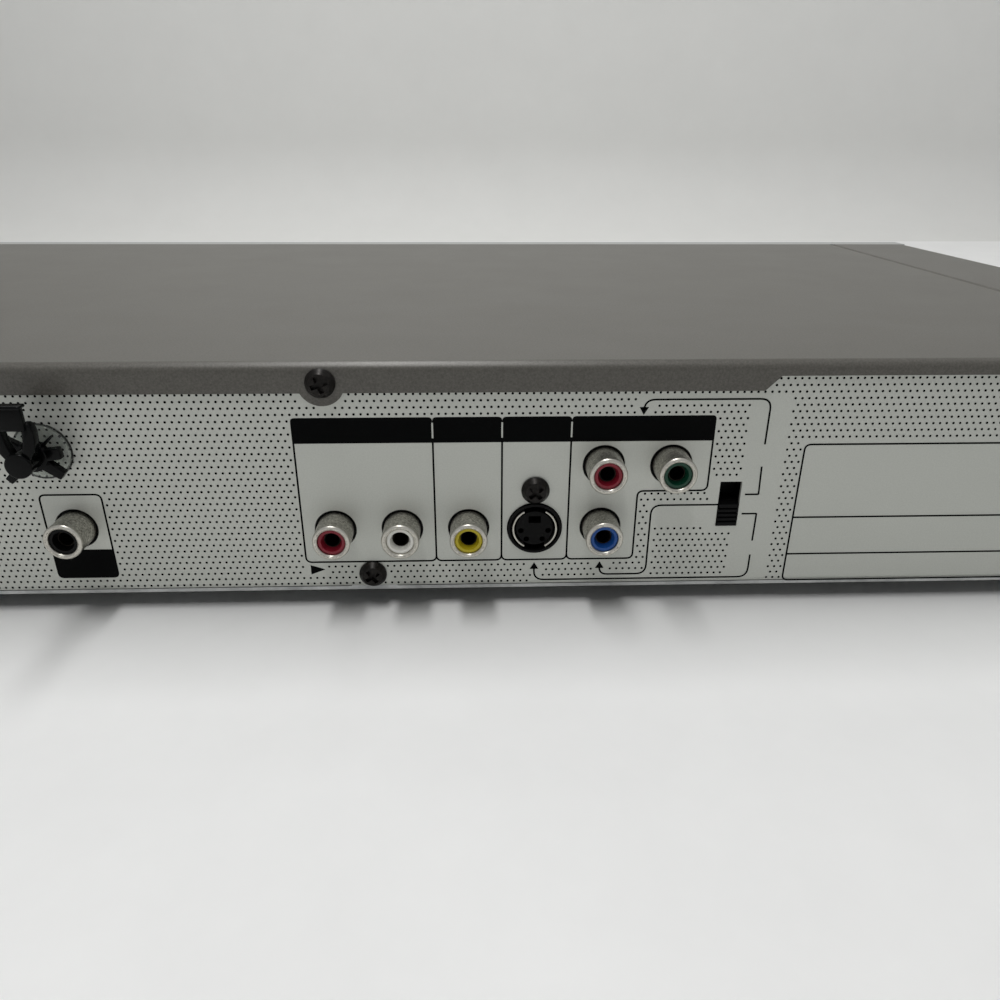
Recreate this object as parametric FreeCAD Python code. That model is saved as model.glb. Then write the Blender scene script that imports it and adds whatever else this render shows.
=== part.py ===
"""Slim disc player with a motor-driven tray, seen in the photograph from behind.

Millimetres. +Z is up, the front faces -Y, the sockets face +Y. The origin is at the centre of the
footprint, on the surface that the feet stand on.
"""
import FreeCAD, Part
import math
import os

V = FreeCAD.Vector
X_AXIS, Y_AXIS, Z_AXIS = V(1, 0, 0), V(0, 1, 0), V(0, 0, 1)

# Case
body_width = 430.0
body_depth = 208.0          # from the front face to the rear panel
body_height = 51.0          # from the chassis underside to the top of the cover
foot_height = 4.0
foot_radius = 13.0
foot_inset_x = 38.0
foot_inset_y = 30.0
sheet = 0.8                 # steel of cover, chassis and rear panel
sheet_gap = 0.3             # between cover and chassis sides
cover_bend = 2.0            # outer radius of the cover's bends
panel_depth = 12.0          # how much of the depth the front moulding takes
lip_depth = 6.0             # rear lip of the cover in the middle
lip_end_depth = 3.0         # and towards the corners
lip_half = 87.1             # where the lip starts to step up
lobe_radius = 4.7           # ear of the lip round its screw
bead_inset = 32.0           # pressed bead along each side of the top
bead_width = 2.4
bead_drop = 0.5
side_flange = 18.0
front_flange = 3.8
rib_rows = (56.9, 96.9, 136.9)   # pressed ribs of the floor behind the front face
button_proud = 0.8
panel_bend = 1.5            # outer radius of the rear panel's folds

# Rear sockets
jack_reach = 6.6            # barrels beyond the rear panel
barrel_radius = 3.85
barrel_root = 3.65          # behind the panel
barrel_bore = 3.0
insert_recess = 0.6
funnel_radius = 2.15
funnel_depth = 1.6
pin_bore = 1.7
pin_depth = 9.0
jack_hole = 4.4
jack_pitch = 14.0
jack_low = 15.1             # lower row above the chassis underside
jack_high = 29.15
coax_x = 53.5
coax_low = 16.05
block_depth = 12.0
block_half = 6.4
fit = 0.1                   # around pieces that are pressed or snapped in
screw_head = 2.95           # radius
screw_rise = 2.1
screw_shank = 1.45
screw_length = 6.0
recess_span = 3.4
recess_width = 0.95

# Slide switch
switch_x = -83.1
switch_low = 14.85          # bottom of its slot above the chassis underside
switch_slot = 10.3
switch_slot_half = 2.3
knob_height = 5.0
knob_half = 2.1

# Mains inlet
inlet_from_side = 65.0
inlet_low = 20.0
inlet_half = 7.0
inlet_radius = 4.1
inlet_depth = 15.0
pin_spacing = 8.6
mains_pin = 1.2

# Boards
board_thick = 1.6
board_post = 7.0            # underside of the boards above the floor
post_radius = 3.0
main_board_x = (-98.0, 68.0)
chip_places = ((20.0, 18.0, 1.6), (-3.0, 11.0, 1.2), (-30.0, 8.0, 1.2), (-64.0, 9.0, 1.2))   # x, size, height
power_board_from_side = 9.0
power_board_width = 114.0
power_board_from_front = 54.9
power_board_from_rear = 9.1

# Front moulding
wall = 2.2
door_width = 139.8
door_height = 16.0
door_low = 23.5             # above the chassis underside
door_thick = 3.2
door_gap = 0.35
window_start = 34.0
window_from_side = 89.0
window_thick = 1.3
window_ledge = 2.0
front_board_back = 9.2      # face of the front board behind the front face
switch_body = 3.5
plunger = 0.7
button_travel = 0.8
button_gap = 0.2
button_z = 33.0             # row of buttons above the chassis underside
rocker_z = 18.0
button_size = (13.0, 7.0)
button_from_side = 33.0       # the outermost of the row
button_pitch = 18.0
rocker_half = 15.0
rocker_swing = 2.5          # degrees each way
rocker_arm = 10.0           # its feet from its pin
power_from_side = 25.0
power_radius = 5.5

# Loading mechanism
loader_x = -45.0
loader_front = 13.2         # behind the front face
loader_gap = 3.5            # to the signal board
loader_wall = 2.5
base_rail = 12.0            # width of the frame's foot inside each wall
loader_low = 5.0            # above the floor
loader_high = 36.2          # top of the side walls above the floor
tray_rim = 5.4              # beside the disc
tray_lip = 2.4              # before the disc
tray_overhang = 1.6         # behind the loader's frame
tray_travel = 130.0
tray_side_gap = 1.0
guide_gap = 0.3
disc_radius = 60.0
recess_margin = 0.6
small_disc_radius = 40.0
disc_plane = 37.0           # underside of a disc while it plays
lift_off = 1.0              # disc above the tray while it plays
rim_rise = 3.8              # rim of the tray over its disc floor
tray_floor = 3.2
skin = 2.0
slot_half = 23.0
rack_offset = 50.0          # pitch line of the rack from the loader's middle
rack_module = 1.0
wheel_module = 0.8
rack_teeth = 20
wheel_teeth = 30
pinion_teeth = 14
gear_y = 27.6               # drive gears behind the front face
backlash = 0.16
pulley_radius = 12.5
pulley_flange = 1.5
motor_pulley_radius = 3.5
belt_span = 38.0
belt_gap = 0.25
belt_thick = 1.1
belt_height = 1.6
deck_low = 12.2             # above the floor
deck_thick = 2.0
deck_depth = 29.0

# Traverse with spindle and pickup
traverse_half = 50.0
traverse_plate = 24.0
traverse_thick = 2.0
traverse_reach = 17.1       # before the spindle
sled_stop = 9.2             # hinge behind the sled's outermost place
hinge_inset = 10.7          # before the back of the loader's frame
hinge_z = 20.0
hinge_radius = 2.0
running = 0.05
traverse_drop = 6.0         # degrees
cam_pin_x = -10.0           # from the loader's middle
cam_pin_z = 25.0
cam_pin_radius = 1.5
cam_slope = 0.5
cam_thick = 2.4
cam_clear = 0.3
rod_offset = 24.0
rod_radius = 1.5
rod_z = 24.0
sled_half = 27.4
sled_length = 31.5
sled_travel = 34.0
lens_start = 24.0           # lens from the spindle, innermost
feed_module = 0.6
feed_wheel_module = 0.5
feed_teeth = 14
feed_wheel_teeth = 32
feed_reach = 48.7           # feed gear behind the spindle
spindle_can = 12.0
turntable_radius = 14.0
boss_radius = 7.4
clamper_radius = 15.0
clamper_neck = 10.0
bridge_thick = 1.2
bridge_half = 18.0

# Planes and centres that follow from the sizes above
rear = (body_depth + button_proud - jack_reach) / 2
front = rear - body_depth
underside = foot_height
floor_top = underside + sheet
top = underside + body_height
side = body_width / 2
seam = front + panel_depth
panel_back = rear - sheet
chassis_half = side - sheet - sheet_gap
panel_top = top - sheet - fit
low_row = underside + jack_low
high_row = underside + jack_high
coax_z = underside + coax_low
board_low = floor_top + board_post
board_top = board_low + board_thick
door_z = underside + door_low
door_top = door_z + door_height
tray_half = disc_radius + recess_margin + tray_rim
inner_half = tray_half + tray_side_gap
outer_half = inner_half + loader_wall
loader_y = front + loader_front
loader_z = floor_top + loader_low
loader_top = floor_top + loader_high
deck_z = floor_top + deck_low
deck_top = deck_z + deck_thick
tray_y = front + door_thick
disc_y = tray_y + tray_lip + recess_margin + disc_radius
sled_front = disc_y + spindle_can + 2.0
hinge_y = sled_front + sled_length + sled_travel + sled_stop
loader_back = hinge_y + hinge_inset
tray_back = loader_back + tray_overhang
main_board_y = (loader_back + loader_gap, panel_back - fit)
disc_floor = disc_plane - lift_off
tray_top = disc_floor + rim_rise
tray_z = disc_floor - tray_floor
rail_z = tray_z - 3.0
rack_z = tray_z - 4.4
gear_post_y = front + gear_y
rack_radius = rack_module * rack_teeth / 2
wheel_radius = wheel_module * wheel_teeth / 2
pinion_radius = wheel_module * pinion_teeth / 2
rack_x = loader_x - rack_offset
tray_gear_x = rack_x + rack_radius
pulley_x = tray_gear_x + wheel_radius + pinion_radius
motor_x = pulley_x + belt_span
traverse_y = disc_y - traverse_reach
feed_y = disc_y + feed_reach
traverse_back = hinge_y + hinge_radius + 0.5
plate_top = traverse_plate + traverse_thick
rib_z = traverse_plate - 6.0
cam_y = traverse_y - 2.0 - cam_thick
cam_lift = (hinge_y - cam_y - cam_thick / 2) * math.sin(math.radians(traverse_drop))
cam_travel = cam_lift / cam_slope
lens_y = disc_y + lens_start
feed_radius = feed_module * feed_teeth / 2
feed_wheel_radius = feed_wheel_module * feed_wheel_teeth / 2
feed_pinion_radius = feed_wheel_module * feed_teeth / 2
feed_rack_x = loader_x + sled_half + 2.0 + 1.1 * feed_module
feed_x = feed_rack_x + feed_radius
feed_angle = math.radians(-75)
feed_motor_x = feed_x + (feed_wheel_radius + feed_pinion_radius) * math.cos(feed_angle)
feed_motor_y = feed_y + (feed_wheel_radius + feed_pinion_radius) * math.sin(feed_angle)


def box(x0, x1, y0, y1, z0, z1):
    """A block between two corners."""
    return Part.makeBox(x1 - x0, y1 - y0, z1 - z0, V(x0, y0, z0))


def rod(x, y, z, radius, length, axis=Z_AXIS):
    """A round bar that starts at a point and runs along an axis."""
    return Part.makeCylinder(radius, length, V(x, y, z), axis)


def face_of(points):
    """A flat face. A point followed by "arc" and an end point is the middle of an arc."""
    edges = []
    start = points[0]
    i = 1
    while i < len(points):
        if points[i] == "arc":
            edges.append(Part.Arc(start, points[i + 1], points[i + 2]).toShape())
            start = points[i + 2]
            i += 3
        else:
            edges.append(Part.LineSegment(start, points[i]).toShape())
            start = points[i]
            i += 1
    if start.distanceToPoint(points[0]) > 1e-6:
        edges.append(Part.LineSegment(start, points[0]).toShape())
    return Part.Face(Part.Wire(edges))


def prism(points, place, way):
    """An outline of pairs, placed in space by a function and extruded along a vector."""
    placed = [p if p == "arc" else place(*p) for p in points]
    return face_of(placed).extrude(way)


def prism_x(points, x0, x1):
    """Pairs are (y, z)."""
    return prism(points, lambda y, z: V(x0, y, z), V(x1 - x0, 0, 0))


def prism_y(points, y0, y1):
    """Pairs are (x, z)."""
    return prism(points, lambda x, z: V(x, y0, z), V(0, y1 - y0, 0))


def prism_z(points, z0, z1):
    """Pairs are (x, y)."""
    return prism(points, lambda x, y: V(x, y, z0), V(0, 0, z1 - z0))


def spun(points, x, y, z=0.0, out=False):
    """A turned piece. Pairs are (radius, height), or (radius, distance out) about an axis along Y."""
    if out:
        face = face_of([V(x + r, y + h, z) for r, h in points])
        return face.revolve(V(x, y, z), Y_AXIS, 360)
    face = face_of([V(x + r, y, z + h) for r, h in points])
    return face.revolve(V(x, y, z), Z_AXIS, 360)


def join(shapes):
    """One solid from touching ones."""
    first, rest = shapes[0], list(shapes[1:])
    return first.fuse(rest).removeSplitter() if rest else first


def stadium(x, z, half, radius, y0, y1):
    """A bar along Y with a long round-ended section, `half` from its middle to each end."""
    flat = half - radius
    return prism_y([
        (x - flat, z - radius), (x + flat, z - radius),
        "arc", (x + half, z), (x + flat, z + radius),
        (x - flat, z + radius), "arc", (x - half, z), (x - flat, z - radius),
    ], y0, y1)


def tooth_half_angle(radius, pitch_radius, teeth):
    """Half the angle that an involute tooth spans at a radius, with its share of backlash."""
    pressure = math.radians(20)
    base = pitch_radius * math.cos(pressure)
    at_pitch = math.tan(pressure) - pressure
    angle = math.acos(min(1.0, base / radius))
    flank = at_pitch - (math.tan(angle) - angle)
    return math.pi / (2 * teeth) - backlash / (4 * pitch_radius) + flank


def gear(x, y, z0, z1, module, teeth, phase, bore):
    """A spur gear with one tooth centred at the angle `phase`, bored for its post."""
    pitch_radius = module * teeth / 2
    root = pitch_radius - 1.1 * module
    tip = pitch_radius + 0.8 * module
    points = []
    for k in range(teeth):
        middle = phase + 2 * math.pi * k / teeth
        for radius in (root, pitch_radius, tip):
            turn = middle - tooth_half_angle(radius, pitch_radius, teeth)
            points.append((x + radius * math.cos(turn), y + radius * math.sin(turn)))
        for radius in (tip, pitch_radius, root):
            turn = middle + tooth_half_angle(radius, pitch_radius, teeth)
            points.append((x + radius * math.cos(turn), y + radius * math.sin(turn)))
    blank = prism_z(points, z0, z1)
    return blank.cut(rod(x, y, z0 - 1, bore, z1 - z0 + 2))


def rack(pitch_x, mesh_y, y0, y1, z0, z1, module, back):
    """A rack along Y with its teeth towards +X and a space at mesh_y. `back` is its bar's far side."""
    pitch = math.pi * module
    slope = math.tan(math.radians(20))
    root_x = pitch_x - 1.1 * module
    tip_x = pitch_x + 0.8 * module
    root_half = pitch / 4 - backlash / 4 + 1.1 * module * slope
    tip_half = pitch / 4 - backlash / 4 - 0.8 * module * slope
    first = math.ceil((y0 - mesh_y + root_half) / pitch - 0.5)
    last = math.floor((y1 - mesh_y - root_half) / pitch - 0.5)
    points = [(back, y0), (root_x, y0)]
    for k in range(first, last + 1):
        middle = mesh_y + (k + 0.5) * pitch
        points += [(root_x, middle - root_half), (tip_x, middle - tip_half)]
        points += [(tip_x, middle + tip_half), (root_x, middle + root_half)]
    points += [(root_x, y1), (back, y1)]
    return prism_z(points, z0, z1)


def screw(x, y, z, axis, recess_turn=0.0):
    """Pan-head screw with a cross recess. The point is under its head, the axis towards the head."""
    profile = [(0, -screw_length), (screw_shank, -screw_length), (screw_shank, 0), (screw_head, 0),
               (screw_head, 0.5), (0.72 * screw_head, 0.8 * screw_rise), (0, screw_rise)]
    body = spun(profile, 0, 0)
    recess_floor = screw_rise - 1.3
    slot = box(-recess_span / 2, recess_span / 2, -recess_width / 2, recess_width / 2,
               recess_floor, screw_rise + 1)
    for angle in (recess_turn, recess_turn + 90):
        body = body.cut(slot.rotated(V(0, 0, 0), Z_AXIS, angle))
    turn = FreeCAD.Rotation(Z_AXIS, axis)
    body.Placement = FreeCAD.Placement(V(x, y, z), turn)
    return body


# Places that more than one piece uses
audio_xs = (0.0, -jack_pitch, -2 * jack_pitch)
svideo_x = -3 * jack_pitch
component_x = -4 * jack_pitch
green_x = -5 * jack_pitch
jacks = {
    "red": [(audio_xs[0], low_row), (component_x, high_row)],
    "white": [(audio_xs[1], low_row)],
    "yellow": [(audio_xs[2], low_row)],
    "blue": [(component_x, low_row)],
    "green": [(green_x, high_row)],
    "black": [(coax_x, coax_z)],
}
jack_places = [place for places in jacks.values() for place in places]
svideo_z = low_row - 0.2
lip_screw = (0.3, top - 3.9)
tab_screw = (-7.2, underside + 4.4)
svideo_screw = (svideo_x, underside + 23.7)
side_screws = [(-60.0, floor_top + 8.5), (55.0, floor_top + 8.5)]
inlet_z = underside + inlet_low
switch_z = underside + switch_low
feet_places = [(sx * (side - foot_inset_x), y) for sx in (-1, 1)
               for y in (front + foot_inset_y, rear - foot_inset_y)]
ear_offset = outer_half + 4.0
ear_ys = (loader_y + 9.0, loader_back - 9.0)
ear_places = [(loader_x + sx * ear_offset, y) for sx in (-1, 1) for y in ear_ys]
power_board_x = (side - power_board_from_side - power_board_width, side - power_board_from_side)
power_board_y = (front + power_board_from_front, rear - power_board_from_rear)
main_posts = [(x, y) for x in (main_board_x[0] + 5, 0.5 * sum(main_board_x), main_board_x[1] - 5)
              for y in (main_board_y[0] + 5,)] + [(main_board_x[0] + 5, main_board_y[1] - 15),
                                                  (main_board_x[1] - 5, main_board_y[1] - 20)]
power_posts = [(x, y) for x in (power_board_x[0] + 5, power_board_x[1] - 5)
               for y in (power_board_y[0] + 5, power_board_y[1] - 5)]
window_x = (window_start, side - window_from_side)
button_xs = [side - button_from_side - k * button_pitch for k in (2, 1, 0)]
rocker_x = button_xs[1]
power_x = power_from_side - side
inlet_x = side - inlet_from_side
lug_xs = (25.0 - side, 75.0 - side, 60.0, side - 25.0)
front_board_y = front + front_board_back
front_board_x = (window_x[0] - 4, side - 9)
front_board_z = (underside + 6, top - 6)
power_button_board = (power_x - 12, power_x + 12)
board_bosses = [(x, z) for x in (front_board_x[0] + 3, window_x[1] + 7, front_board_x[1] - 3)
                for z in (front_board_z[0] + 3.5, front_board_z[1] - 3.5)]
power_bosses = [(power_x + sx * 9, underside + button_z + sx * 9) for sx in (-1, 1)]
button_row = underside + button_z
rocker_row = underside + rocker_z
rocker_pin_y = front + wall + 1.2


def make_bottom_chassis():
    """Folded steel tray: floor, side and front flanges, pressed posts, ribs, vents and a screw tab."""
    floor = box(-chassis_half, chassis_half, seam, panel_back, underside, floor_top)
    parts = [floor]
    for sx in (-1, 1):
        x0, x1 = sorted((sx * (chassis_half - sheet), sx * chassis_half))
        parts.append(box(x0, x1, seam, panel_back, underside, underside + side_flange))
    parts.append(box(-chassis_half, chassis_half, seam, seam + sheet, underside, underside + front_flange))
    x, z = tab_screw
    parts.append(box(x - 5, x + 5, panel_back - sheet, panel_back, underside, board_low - 0.4))
    for px, py in ear_places:
        parts.append(rod(px, py, underside, post_radius + 0.5, loader_low + sheet))
    for px, py in main_posts + power_posts:
        parts.append(rod(px, py, underside, post_radius, board_post + sheet))
    rib_high = floor_top + 1.2
    ribs = [(x0, x1, front + dy) for x0, x1 in ((15.0 - side, 85.0 - side), (38.0, power_board_x[0] - 8))
            for dy in rib_rows]
    for x0, x1, y in ribs:
        parts.append(box(x0, x1, y - 4, y + 4, underside, rib_high))
    body = join(parts)
    cuts = []
    for x0, x1, y in ribs:
        cuts.append(box(x0 + 1, x1 - 1, y - 3, y + 3, underside - 1, rib_high - sheet))
    cuts.append(rod(x, panel_back - sheet - 1, z, screw_shank + fit, sheet + 2, Y_AXIS))
    for px, py in ear_places + main_posts + power_posts:
        cuts.append(rod(px, py, underside - 1, screw_shank + fit, board_post + 5))
    for y, z in side_screws:
        cuts.append(rod(-side - 1, y, z, screw_shank + fit, body_width + 2, X_AXIS))
    for lug in lug_xs:
        cuts.append(box(lug - 7.3, lug + 7.3, seam - 1, seam + sheet + 1, floor_top, floor_top + 2.2))
    for k in range(8):
        x = power_board_x[0] + 16 + 9 * k
        cuts.append(box(x, x + 3, power_board_y[0] + 18, power_board_y[0] + 42, underside - 1, floor_top + 1))
    return body.cut(cuts)


def make_feet():
    """Four stepped round feet, dished underneath, stuck to the chassis."""
    profile = [(0, foot_height), (0, 0.8), (foot_radius - 4, 0.8), (foot_radius - 4, 0),
               (foot_radius - 1.5, 0), (foot_radius, foot_height - 1), (foot_radius, foot_height)]
    return Part.makeCompound([spun(profile, x, y) for x, y in feet_places])


def make_rear_panel():
    """Steel panel with folded top and bottom flanges, pierced for the sockets."""
    half = chassis_half - fit
    outer, inner = panel_bend, panel_bend - sheet
    mid = math.sin(math.radians(45))
    centre_y, high_z, low_z = rear - outer, panel_top - outer, floor_top + outer
    bent = prism_x([(panel_back - 10, floor_top), (centre_y, floor_top),
                    "arc", (centre_y + outer * mid, low_z - outer * mid), (rear, low_z), (rear, high_z),
                    "arc", (centre_y + outer * mid, high_z + outer * mid), (centre_y, panel_top),
                    (panel_back - 8, panel_top), (panel_back - 8, panel_top - sheet),
                    (centre_y, panel_top - sheet),
                    "arc", (centre_y + inner * mid, high_z + inner * mid), (panel_back, high_z),
                    (panel_back, low_z), "arc", (centre_y + inner * mid, low_z - inner * mid),
                    (centre_y, floor_top + sheet), (panel_back - 10, floor_top + sheet)], -half, half)
    corner = cover_bend - sheet
    outline = [(-half, underside), (half, underside), (half, panel_top - corner), (half - corner, panel_top),
               (corner - half, panel_top), (-half, panel_top - corner)]
    body = bent.common(prism_y(outline, panel_back - 11, rear))
    x, z = tab_screw
    cuts = [box(x - 6, x + 6, panel_back - 11, panel_back, floor_top - 1, floor_top + 2)]
    for end in (-half, half):
        cuts.append(box(end - 1.2, end + 1.2, panel_back - 11, panel_back, floor_top - 1, floor_top + 2))
    for jx, jz in jack_places:
        cuts.append(rod(jx, panel_back - 1, jz, jack_hole, sheet + 2, Y_AXIS))
    cuts.append(rod(svideo_x, panel_back - 1, svideo_z, 5.9, sheet + 2, Y_AXIS))
    slot_x0, slot_x1 = switch_x - switch_slot_half, switch_x + switch_slot_half
    cuts.append(box(slot_x0, slot_x1, panel_back - 1, rear + 1, switch_z, switch_z + switch_slot))
    for sx, sz in (lip_screw, tab_screw, svideo_screw):
        cuts.append(rod(sx, panel_back - 9, sz, screw_shank + fit, sheet + 10, Y_AXIS))
    cuts.append(box(inlet_x - 10 - fit, inlet_x + 10 + fit, panel_back - 1, rear + 1,
                    inlet_z - 6.5 - fit, inlet_z + 6.5 + fit))
    return body.cut(cuts)


def lip_outline():
    """Rear lip of the cover: deep in the middle, chamfered up to a shallow strip at both ends."""
    step = lip_depth - lip_end_depth
    low, high = top - lip_depth, top - lip_end_depth
    return [(-side, high), (-lip_half - step, high), (-lip_half, low), (lip_half, low),
            (lip_half + step, high), (side, high), (side, top), (-side, top)]


def make_top_cover():
    """Bent steel lid: top, two sides and a rear lip with a screw ear. Beads run along the top."""
    y0 = seam + fit
    y1 = rear + sheet
    low = underside + 1.2
    outer = box(-side, side, y0, y1, low, top)
    bends = [e for e in outer.Edges if is_cover_bend(e, top)]
    outer = outer.makeFillet(cover_bend, bends)
    inner = box(-side + sheet, side - sheet, y0 - 1, rear, low - 1, top - sheet)
    bends = [e for e in inner.Edges if is_cover_bend(e, top - sheet)]
    inner = inner.makeFillet(cover_bend - sheet, bends)
    back_cut = box(-side - 1, side + 1, rear, y1 + 1, low - 1, top - cover_bend)
    x, z = lip_screw
    lip = prism_y(lip_outline(), rear, y1).fuse(rod(x, rear, z, lobe_radius, sheet, Y_AXIS))
    lip = lip.common(box(-side, side, rear, y1, low, top - cover_bend))
    body = join([outer.cut(inner).cut(back_cut), lip])
    parts, cuts = [body], []
    for sx in (-1, 1):
        x = sx * (side - bead_inset)
        y2 = rear - 12
        half = bead_width / 2
        deep = top - bead_drop
        parts.append(box(x - half, x + half, y0, y2, deep - sheet, top - sheet))
        cuts.append(prism_y([(x - half, top + 0.1), (x - half / 3, deep), (x + half / 3, deep),
                             (x + half, top + 0.1)], y0 - 1, y2 - 0.6))
    x, z = lip_screw
    cuts.append(rod(x, rear - 1, z, screw_shank + fit, sheet + 2, Y_AXIS))
    for y, z in side_screws:
        cuts.append(rod(-side - 1, y, z, screw_shank + fit, body_width + 2, X_AXIS))
    return join(parts).cut(cuts)


def is_cover_bend(edge, level):
    """True for the long upper edges of a block, apart from the front one."""
    box_of = edge.BoundBox
    flat = box_of.ZMax - box_of.ZMin < 1e-3 and abs(box_of.ZMax - level) < 1e-3
    return flat and box_of.YMax > 0


def front_form(inset):
    """The front moulding's block, moved in by a wall: a flat face, a round top and a drawn-in chin."""
    back = seam + (0 if inset == 0 else 1)
    high, low, face = top - inset, underside + inset, front + inset
    bend = 3.5 - inset
    chin = 12.0 - inset
    section = [(back, high), (face + bend, high),
               "arc", (face + 0.3 * bend, high - 0.3 * bend), (face, high - bend),
               (face, low + chin), "arc", (face + 1.6, low + 0.45 * chin), (face + 5.5, low),
               (back, low)]
    half, corner = side - inset, 5.0 - inset
    plan = [(-half, back), (-half, face + corner),
            "arc", (-half + 0.3 * corner, face + 0.3 * corner), (-half + corner, face),
            (half - corner, face),
            "arc", (half - 0.3 * corner, face + 0.3 * corner), (half, face + corner),
            (half, back)]
    return prism_x(section, -half, half).common(prism_z(plan, low, high))


def make_front_panel():
    """Moulded shell with the tray's slot, the window's rebate, button holes, bosses and snap lugs."""
    body = front_form(0).cut(front_form(wall))
    face, back = front - 1, front + wall
    adds = []
    for x, z in board_bosses + power_bosses:
        adds.append(rod(x, front + wall / 2, z, 2.5, front_board_back - wall / 2, Y_AXIS))
    for x in lug_xs:
        adds.append(box(x - 7, x + 7, seam - 6, seam + 6, floor_top, floor_top + 1.8))
    for sx in (-1, 1):
        x0, x1 = sorted((sx * (chassis_half - sheet - 2), sx * (chassis_half - sheet)))
        adds.append(box(x0, x1, seam - 6, seam + 8, underside + 9, underside + 16))
    for z0 in (rocker_row - 6.0, rocker_row + 4.0):
        adds.append(box(rocker_x - 2, rocker_x + 2, front + wall / 2, back + 2.8, z0, z0 + 2.0))
    body = join([body] + adds)
    half = door_width / 2 + door_gap
    cuts = [box(loader_x - half, loader_x + half, face, back + 1, door_z - door_gap, door_top + door_gap)]
    x0, x1 = window_x
    cuts.append(box(x0, x1, face, front + window_thick + fit, door_z, door_top))
    cuts.append(box(x0 + window_ledge, x1 - window_ledge, face, back + 1,
                    door_z + window_ledge, door_top - window_ledge))
    width, height = button_size
    for x in button_xs:
        cuts.append(box(x - width / 2, x + width / 2, face, back + 1,
                        button_row - height / 2, button_row + height / 2))
    cuts.append(box(rocker_x - rocker_half, rocker_x + rocker_half, face, back + 0.5,
                    rocker_row - height / 2, rocker_row + height / 2))
    cuts.append(rod(rocker_x, rocker_pin_y, rocker_row - 8, 0.8 + running, 16))
    cuts.append(rod(power_x, face, button_row, power_radius, wall + 2, Y_AXIS))
    for x, z in board_bosses + power_bosses:
        cuts.append(rod(x, front_board_y - 5, z, screw_shank + fit, 6, Y_AXIS))
    return body.cut(cuts)


def make_display_window():
    """Smoked acrylic plate in the rebate beside the tray."""
    x0, x1 = window_x
    plate = box(x0 + fit, x1 - fit, front, front + window_thick, door_z + fit, door_top - fit)
    return plate.makeChamfer(0.3, [e for e in plate.Edges if e.BoundBox.YMax < front + 0.01])


def make_front_board():
    """Upright board behind the window and buttons, and a small one behind the power button."""
    y0, y1 = front_board_y, front_board_y + board_thick
    boards = [box(*front_board_x, y0, y1, *front_board_z),
              box(*power_button_board, y0, y1, button_row - 12, button_row + 12)]
    holes = [rod(x, y0 - 1, z, screw_shank + fit, 4, Y_AXIS) for x, z in board_bosses + power_bosses]
    return Part.makeCompound([board.cut(holes) for board in boards])


def make_display_module():
    """Glass display tube on the board, with a pump stem at one end."""
    x0, x1 = window_x
    glass = box(x0 + 4, x1 - 4, front + wall + 0.4, front_board_y, door_z + 2.5, door_top - 2.5)
    stem = rod(x1 - 4, front_board_y - 3, button_row - 2, 1.5, 4, X_AXIS)
    return join([glass, stem])


def make_key_switches():
    """Push switches on the front boards, one behind each button and two behind the rocker."""
    places = [(x, button_row) for x in button_xs]
    places += [(power_x, button_row), (rocker_x - rocker_arm, rocker_row)]
    places += [(rocker_x + rocker_arm, rocker_row)]
    keys = []
    for x, z in places:
        can = box(x - 3, x + 3, front_board_y - switch_body, front_board_y, z - 3, z + 3)
        keys.append(join([can, rod(x, front_board_y - switch_body - plunger, z, 1.6, 1.2, Y_AXIS)]))
    return Part.makeCompound(keys)


def key_stem(x, z, radius):
    """Flange behind the panel and stem towards the switch, shared by the pushed buttons."""
    flange_y = front + wall + 0.3
    stem_end = front_board_y - switch_body - plunger - button_travel - 0.05
    flange = rod(x, flange_y, z, radius, 1.0, Y_AXIS)
    return [flange, rod(x, flange_y, z, 1.5, stem_end - flange_y, Y_AXIS)]


def make_button(x):
    """Oblong moulded button with a rounded face edge."""
    width, height = button_size
    half_w, half_h = width / 2 - button_gap, height / 2 - button_gap
    cap = box(x - half_w, x + half_w, front - button_proud, front + wall + 0.4,
              button_row - half_h, button_row + half_h)
    cap = cap.makeFillet(0.6, [e for e in cap.Edges if e.BoundBox.YMax < front])
    flange = box(x - half_w - 1.2, x + half_w + 1.2, front + wall + 0.3, front + wall + 1.3,
                 button_row - half_h - 1.2, button_row + half_h + 1.2)
    return join([cap, flange] + key_stem(x, button_row, 2.0))


def make_power_button():
    """Round button with a dished face."""
    radius = power_radius - button_gap
    depth = button_proud + wall + 0.4
    profile = [(0, 0.5), (radius * 0.6, 0.3), (radius - 0.8, 0), (radius, 0.6), (radius, depth), (0, depth)]
    cap = spun(profile, power_x, front - button_proud, button_row, out=True)
    return join([cap] + key_stem(power_x, button_row, power_radius + 1.2))


def make_skip_rocker():
    """Rocker that turns on an upright pin, with a foot over each of its two switches."""
    height = button_size[1]
    half, half_h = rocker_half - 0.4, height / 2 - button_gap
    cap = prism_z([(rocker_x - half, front + 0.4), "arc", (rocker_x, front - button_proud),
                   (rocker_x + half, front + 0.4), (rocker_x + half, front + 2.6),
                   (rocker_x - half, front + 2.6)], rocker_row - half_h, rocker_row + half_h)
    hub = rod(rocker_x, rocker_pin_y, rocker_row - half_h, 1.6, 2 * half_h)
    pin = rod(rocker_x, rocker_pin_y, rocker_row - 5.8, 0.8, 11.6)
    feet = []
    throw = rocker_arm * math.sin(math.radians(rocker_swing))
    stem_end = front_board_y - switch_body - plunger - throw - 0.1
    for sx in (-1, 1):
        feet.append(rod(rocker_x + sx * rocker_arm, front + 2, rocker_row, 1.4, stem_end - front - 2, Y_AXIS))
    return join([cap, hub, pin] + feet)


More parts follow.
